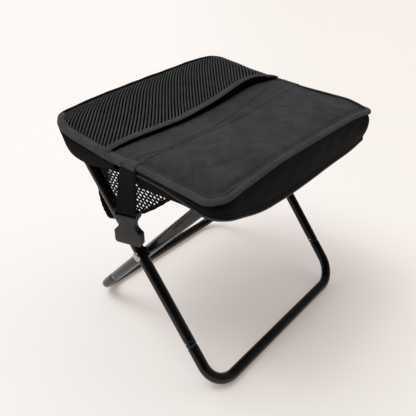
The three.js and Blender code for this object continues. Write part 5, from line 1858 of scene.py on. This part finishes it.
@dataclass
class SideStrap:
    """Webbing strap and buckle socket at one side."""

    side: Side
    width: float = 0.028
    thickness: float = 0.0018
    start_y: float = -0.0024
    drop: float = 0.054
    turn: float = math.radians(20)
    loop_r: float = 0.0037
    loop_turn: float = math.radians(265)
    buckle_out: float = 0.1855
    buckle_y: float = -0.009

    def stations(self) -> tuple[Array, Array, Array]:
        """Middle line of the webbing on the left side.

        Returns:
            Points, directions across, and directions of its inner face (n, 3 each).
        """
        down = np.array([0, 0, -1.0])

        def outward(turn: float) -> Array:
            """Direction away from the seat."""
            return np.array([-math.cos(turn), -math.sin(turn), 0])

        def across(turn: float) -> Array:
            """Direction across the webbing."""
            return np.array([math.sin(turn), -math.cos(turn), 0])

        top = np.array([-(SIZES.seat_half + 0.0003 + self.thickness / 2), self.start_y, 0])
        bar = np.array([-self.buckle_out, self.buckle_y, -self.drop])
        bottom = bar + outward(self.turn) * self.loop_r
        run = (bottom - top) / np.linalg.norm(bottom - top)
        points, sides, inner = [], [], []
        for share in np.linspace(0, 1, 26):
            turn = self.turn * share * share * (3 - 2 * share)
            blend = max(share - 0.85, 0) / 0.15
            way = run * (1 - blend) + down * blend
            ease = 0.0007 * math.sin(math.pi * share) * math.sin(5 * share + 1)
            points.append(top + (bottom - top) * share + outward(turn) * ease)
            sides.append(across(turn))
            inner.append(np.cross(across(turn), way / np.linalg.norm(way)))
        for share in np.linspace(0, 1, 26)[1:]:
            angle = self.loop_turn * share
            away = outward(self.turn)
            points.append(bar + away * self.loop_r * math.cos(angle) + down * self.loop_r * math.sin(angle))
            way = down * math.cos(angle) - away * math.sin(angle)
            sides.append(across(self.turn))
            inner.append(np.cross(across(self.turn), way))
        return np.array(points), np.array(sides), np.array(inner)

    def build(self) -> None:
        """Makes the webbing and the socket."""
        name = self.side.name.lower()
        letter = name[0]
        points, sides, inner = self.stations()
        hang = float(SEAT.top(self.side.value * SIZES.seat_half, self.start_y))
        u = np.linspace(-0.5, 0.5, 15)
        rib = 1 - 0.55 * np.abs(2 * u) ** 14 + 0.05 * np.cos(u * 2 * math.pi * 7)
        faces = []
        for sign in (-1, 1):
            away = sign * 0.5 * self.thickness * rib
            grid = points[:, None] + sides[:, None] * (u * self.width)[None, :, None]
            faces.append(grid + inner[:, None] * away[None, :, None])
        for grid in faces:
            grid[:, :, 0] *= -self.side.value
            grid[:, :, 2] += hang
        strap = Shell.slab(faces[0], faces[1])
        strap.settled(f"side_webbing_{name}", f"strap_{letter}", WEBBING, f"strap_{name}")
        rows = []
        for offset in (-0.44, 0.44):
            line = points[1:26] + sides[1:26] * (offset * self.width) - inner[1:26] * 0.00095
            line = line * [-self.side.value, 1, 1] + [0, 0, hang]
            rows.append(line)
        row = ROWS.made(f"webbing_edge_{name}", rows, WEBBING, Pitch=0.0026, Along=0.0022, Across=0.0006,
                        Rise=0.0005)
        settle(row, f"strap_{letter}", WEBBING)
        socket = softened(f"buckle_{name}", f"buckle_socket_{name}", ACETAL, 0.0008, 2)
        settle(socket, f"buckle_{letter}", ACETAL, f"buckle_{name}")


@dataclass
class ZipSlider:
    """Slider on the right side of the zipper, and its pull."""

    def build(self) -> None:
        """Rounds both off."""
        pair = (("zipper_slider", "zip_slider", 0.0009), ("zipper_pull", "zip_pull", 0.0005))
        for node, body, width in pair:
            piece = softened(node, f"{node}_shaped", ENAMEL, width, 3)
            settle(piece, body, ENAMEL, node)


@dataclass
class StorageBag:
    """Net bag slung under the seat, with bound edges."""

    half: float = 0.146
    body: str = "root"
    sag: float = 0.005
    thickness: float = 0.0009
    seam_y: float = -0.055
    seam_drop: float = 0.0073

    def profile(self) -> Array:
        """Lower outline from the front seam down the slope and up the rear wall.

        Returns:
            Places along and heights (n, 2).
        """
        seam_z = float(SEAT.floor_top(self.seam_y)) - self.seam_drop
        up = SIZES.pivot_z
        folds = [(self.seam_y, seam_z), (-0.041, seam_z - 0.017), (0.008, up + 0.058), (0.077, up + 0.017),
                 (0.093, up + 0.02), (0.102, up + 0.042), (0.104, up + 0.082)]
        return smooth_path([(1000 * y, 1000 * z) for y, z in folds], 64)

    def build(self) -> None:
        """Makes the long panel, both ends, their bound edges and the rim."""
        line = self.profile()
        x = np.linspace(-self.half, self.half, 50)
        part = (x / self.half) ** 2
        along = np.linspace(0, 1, len(line))
        dip = self.sag * np.sin(np.pi * along)[:, None] * (1 - part)[None, :]
        y = line[:, 0][:, None] + 0 * dip
        z = line[:, 1][:, None] - dip
        wide = np.repeat(x[None, :], len(line), axis=0)
        outer = np.dstack([wide, y, z])
        run = np.gradient(line, axis=0)
        run /= np.linalg.norm(run, axis=1, keepdims=True)
        inward = np.column_stack([np.zeros(len(line)), -run[:, 1], run[:, 0]])
        shell = Shell.slab(outer, outer + self.thickness * inward[:, None])
        for side in Side:
            shell = shell.joined(self.end_wall(side, line))
        net = shell.settled("bag_net_shell", self.body, BAG_NET, "storage_bag")
        net.data.materials.append(OPEN_NET.material())
        net.data.materials.append(WALL_WITH_PAINTED_SHADE.material())
        for face in net.data.polygons:
            middle = face.center
            solid = middle.y - SHIFT > 0.084 and abs(middle.x) > 0.128
            face.material_index = 2 if solid else int(abs(face.normal.x) < 0.6)
        pieces = [net]
        for side in Side:
            path = np.column_stack([np.full(len(line), side.value * self.half), line])
            pieces.append(self.edge_tape(f"bag_edge_{side.name.lower()}", path))
        rim = SIZES.pivot_z + 0.0845
        x = np.linspace(-self.half + 0.001, self.half - 0.001, 60)
        path = np.column_stack([x, np.full(60, 0.1029), rim - 0.003 * (1 - (x / self.half) ** 2)])
        rim_piece = self.edge_tape("bag_rim", path, 0.0023)
        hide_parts("bag_binding")
        pieces.append(rim_piece)
        for piece in pieces:
            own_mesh(piece)

    def end_wall(self, side: Side, line: Array) -> Shell:
        """Net wall at one end, from the seam down to the profile.

        Args:
            side: Which end.
            line: The bag's profile.

        Returns:
            The shell.
        """
        columns = 44
        place = np.linspace(0, len(line) - 1, columns)
        low = np.column_stack([np.interp(place, np.arange(len(line)), line[:, k]) for k in (0, 1)])
        high_y = np.interp(np.linspace(0, 1, columns), [0, 1], [self.seam_y, 0.099])
        high = np.column_stack([high_y, SEAT.floor_top(high_y) - self.seam_drop])
        rows = []
        for t in np.linspace(0, 1, 18):
            spot = low + (high - low) * t
            bow = 0.0035 * math.sin(math.pi * t) * np.sin(np.linspace(0, math.pi, columns))
            rows.append(np.column_stack([side.value * (self.half - 0.0004 - bow), spot]))
        outer = np.array(rows)
        inner = outer - [side.value * self.thickness, 0, 0]
        tilt = math.radians(8)
        y, z = outer[:, :, 1], outer[:, :, 2]
        cloth = np.dstack([y * math.cos(tilt) - z * math.sin(tilt), y * math.sin(tilt) + z * math.cos(tilt)])
        return Shell.slab(outer, inner, cloth)

    def edge_tape(self, name: str, path: Array, radius: float = 0.0026) -> Object:
        """Rolled black tape along a path.

        Args:
            name: Name of the piece.
            path: Points (n, 3).
            radius: Radius of the roll.

        Returns:
            The settled piece.
        """
        girth = 1 + 0.12 * np.sin(np.arange(len(path)) * 1.9)
        piece = TUBES.made(name, [path], BLACK_TAPE_AND_PAINTED_SHADE, numbers={"girth": girth}, Radius=radius, Sides=12)
        return settle(piece, self.body, BLACK_TAPE_AND_PAINTED_SHADE)


@dataclass
class Studio:
    """Floor, light and camera of the photograph."""

    eye: tuple = (-0.4635, -0.3944, 0.5593)
    right: tuple = (0.6655, -0.7462, 0.0195)
    up: tuple = (0.3974, 0.3763, 0.8370)
    ahead: tuple = (0.6319, 0.5493, -0.5469)
    lens: float = 38.99
    key: float = 1.2
    glint: float = 0.15
    fill: float = 0.85

    def floor(self) -> None:
        """Round pale floor."""
        rings, steps = (0.6, 1.5, 3.0, 7.0), 72
        points, faces = [(0, 0, 0)], []
        for radius in rings:
            for k in range(steps):
                angle = 2 * math.pi * k / steps
                points.append((radius * math.cos(angle), radius * math.sin(angle), 0))
        for k in range(steps):
            faces.append((0, 1 + k, 1 + (k + 1) % steps))
            for ring in range(len(rings) - 1):
                a, b = 1 + ring * steps, 1 + (ring + 1) * steps
                faces.append((a + k, b + k, b + (k + 1) % steps, a + (k + 1) % steps))
        mesh = bpy.data.meshes.new("studio_floor")
        mesh.from_pydata(points, [], faces)
        mesh.materials.append(FLOOR.material())
        ground = bpy.data.objects.new("studio_floor", mesh)
        bpy.context.scene.collection.objects.link(ground)
        ground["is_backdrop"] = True

    def light(self) -> None:
        """Pale surroundings, dimmer towards the camera and in reflections, and two sun keys, broad and
        small, from behind and to the left.
        """
        world = bpy.data.worlds.new("studio")
        bpy.context.scene.world = world
        world.use_nodes = True
        graph = NodeGraph(world.node_tree)
        around = world.node_tree.nodes["Background"]
        around.inputs["Color"].default_value = (1.0, 0.99, 0.98, 1)
        feeds = {0: graph.node("ShaderNodeTexCoord").outputs["Generated"], 1: [-c for c in self.ahead]}
        facing = graph.node("ShaderNodeVectorMath", feeds, operation="DOT_PRODUCT")
        level = graph.spread(facing.outputs["Value"], 0.1, 0.85, self.fill, 0.05, smooth=True)
        ray = graph.node("ShaderNodeLightPath")
        room = graph.math("MULTIPLY_ADD", ray.outputs["Is Glossy Ray"], -0.75, 1.0)
        graph.feed(around.inputs["Strength"], graph.math("MULTIPLY", level, room))
        seen = graph.node("ShaderNodeBackground", {"Color": (0.9, 0.885, 0.86, 1)})
        direct = graph.math("MAXIMUM", ray.outputs["Is Camera Ray"], ray.outputs["Is Transmission Ray"])
        mix = graph.node("ShaderNodeMixShader", {0: direct, 1: around.outputs[0], 2: seen.outputs[0]})
        graph.feed(world.node_tree.nodes["World Output"].inputs["Surface"], mix.outputs[0])
        for name, energy, spread in (("soft_key", self.key, 40), ("small_key", self.glint, 9)):
            lamp = bpy.data.lights.new(name, "SUN")
            lamp.energy = energy
            lamp.angle = math.radians(spread)
            key = bpy.data.objects.new(name, lamp)
            key.matrix_world = Vector((-0.36, 0.38, 1.1)).to_track_quat("Z", "Y").to_matrix().to_4x4()
            bpy.context.scene.collection.objects.link(key)

    def camera(self) -> None:
        """Camera at the photograph's place."""
        lens = bpy.data.cameras.new("photo_camera")
        lens.lens = self.lens
        lens.sensor_width = 36.0
        lens.clip_start = 0.01
        eye = bpy.data.objects.new("photo_camera", lens)
        back = [-c for c in self.ahead]
        turn = Matrix((self.right, self.up, back)).transposed().normalized()
        eye.matrix_world = Matrix.Translation(self.eye) @ turn.to_4x4()
        bpy.context.scene.collection.objects.link(eye)
        bpy.context.scene.camera = eye

    def build(self) -> None:
        """Sets up the studio."""
        bpy.context.scene.view_settings.view_transform = "Standard"
        self.camera()
        self.light()
        self.floor()


def write_sizes() -> None:
    """Writes the CAD model's box and the dressed model's box."""
    boxes = {"cad": CAD_BOX, "visual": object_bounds()}
    plain = {name: [list(corner) for corner in box] for name, box in boxes.items()}
    for name, (low, high) in plain.items():
        LOG.info("%s box %s to %s", name, [round(c, 4) for c in low], [round(c, 4) for c in high])


def main() -> None:
    """Builds the studio and every piece of the stool."""
    logging.basicConfig(level=logging.INFO, format="%(name)s: %(message)s")
    Studio().build()
    LegFrame("outer", "root", SIZES.outer_leg_x, False).build()
    LegFrame("inner", "inner_frame", SIZES.inner_leg_x, True).build()
    Pivots().build()
    Lid().build()
    FrontSeat().build()
    RearSeat().build()
    for side in Side:
        SideStrap(side).build()
    ZipSlider().build()
    StorageBag().build()
    write_sizes()


if __name__ == "__main__":
    main()
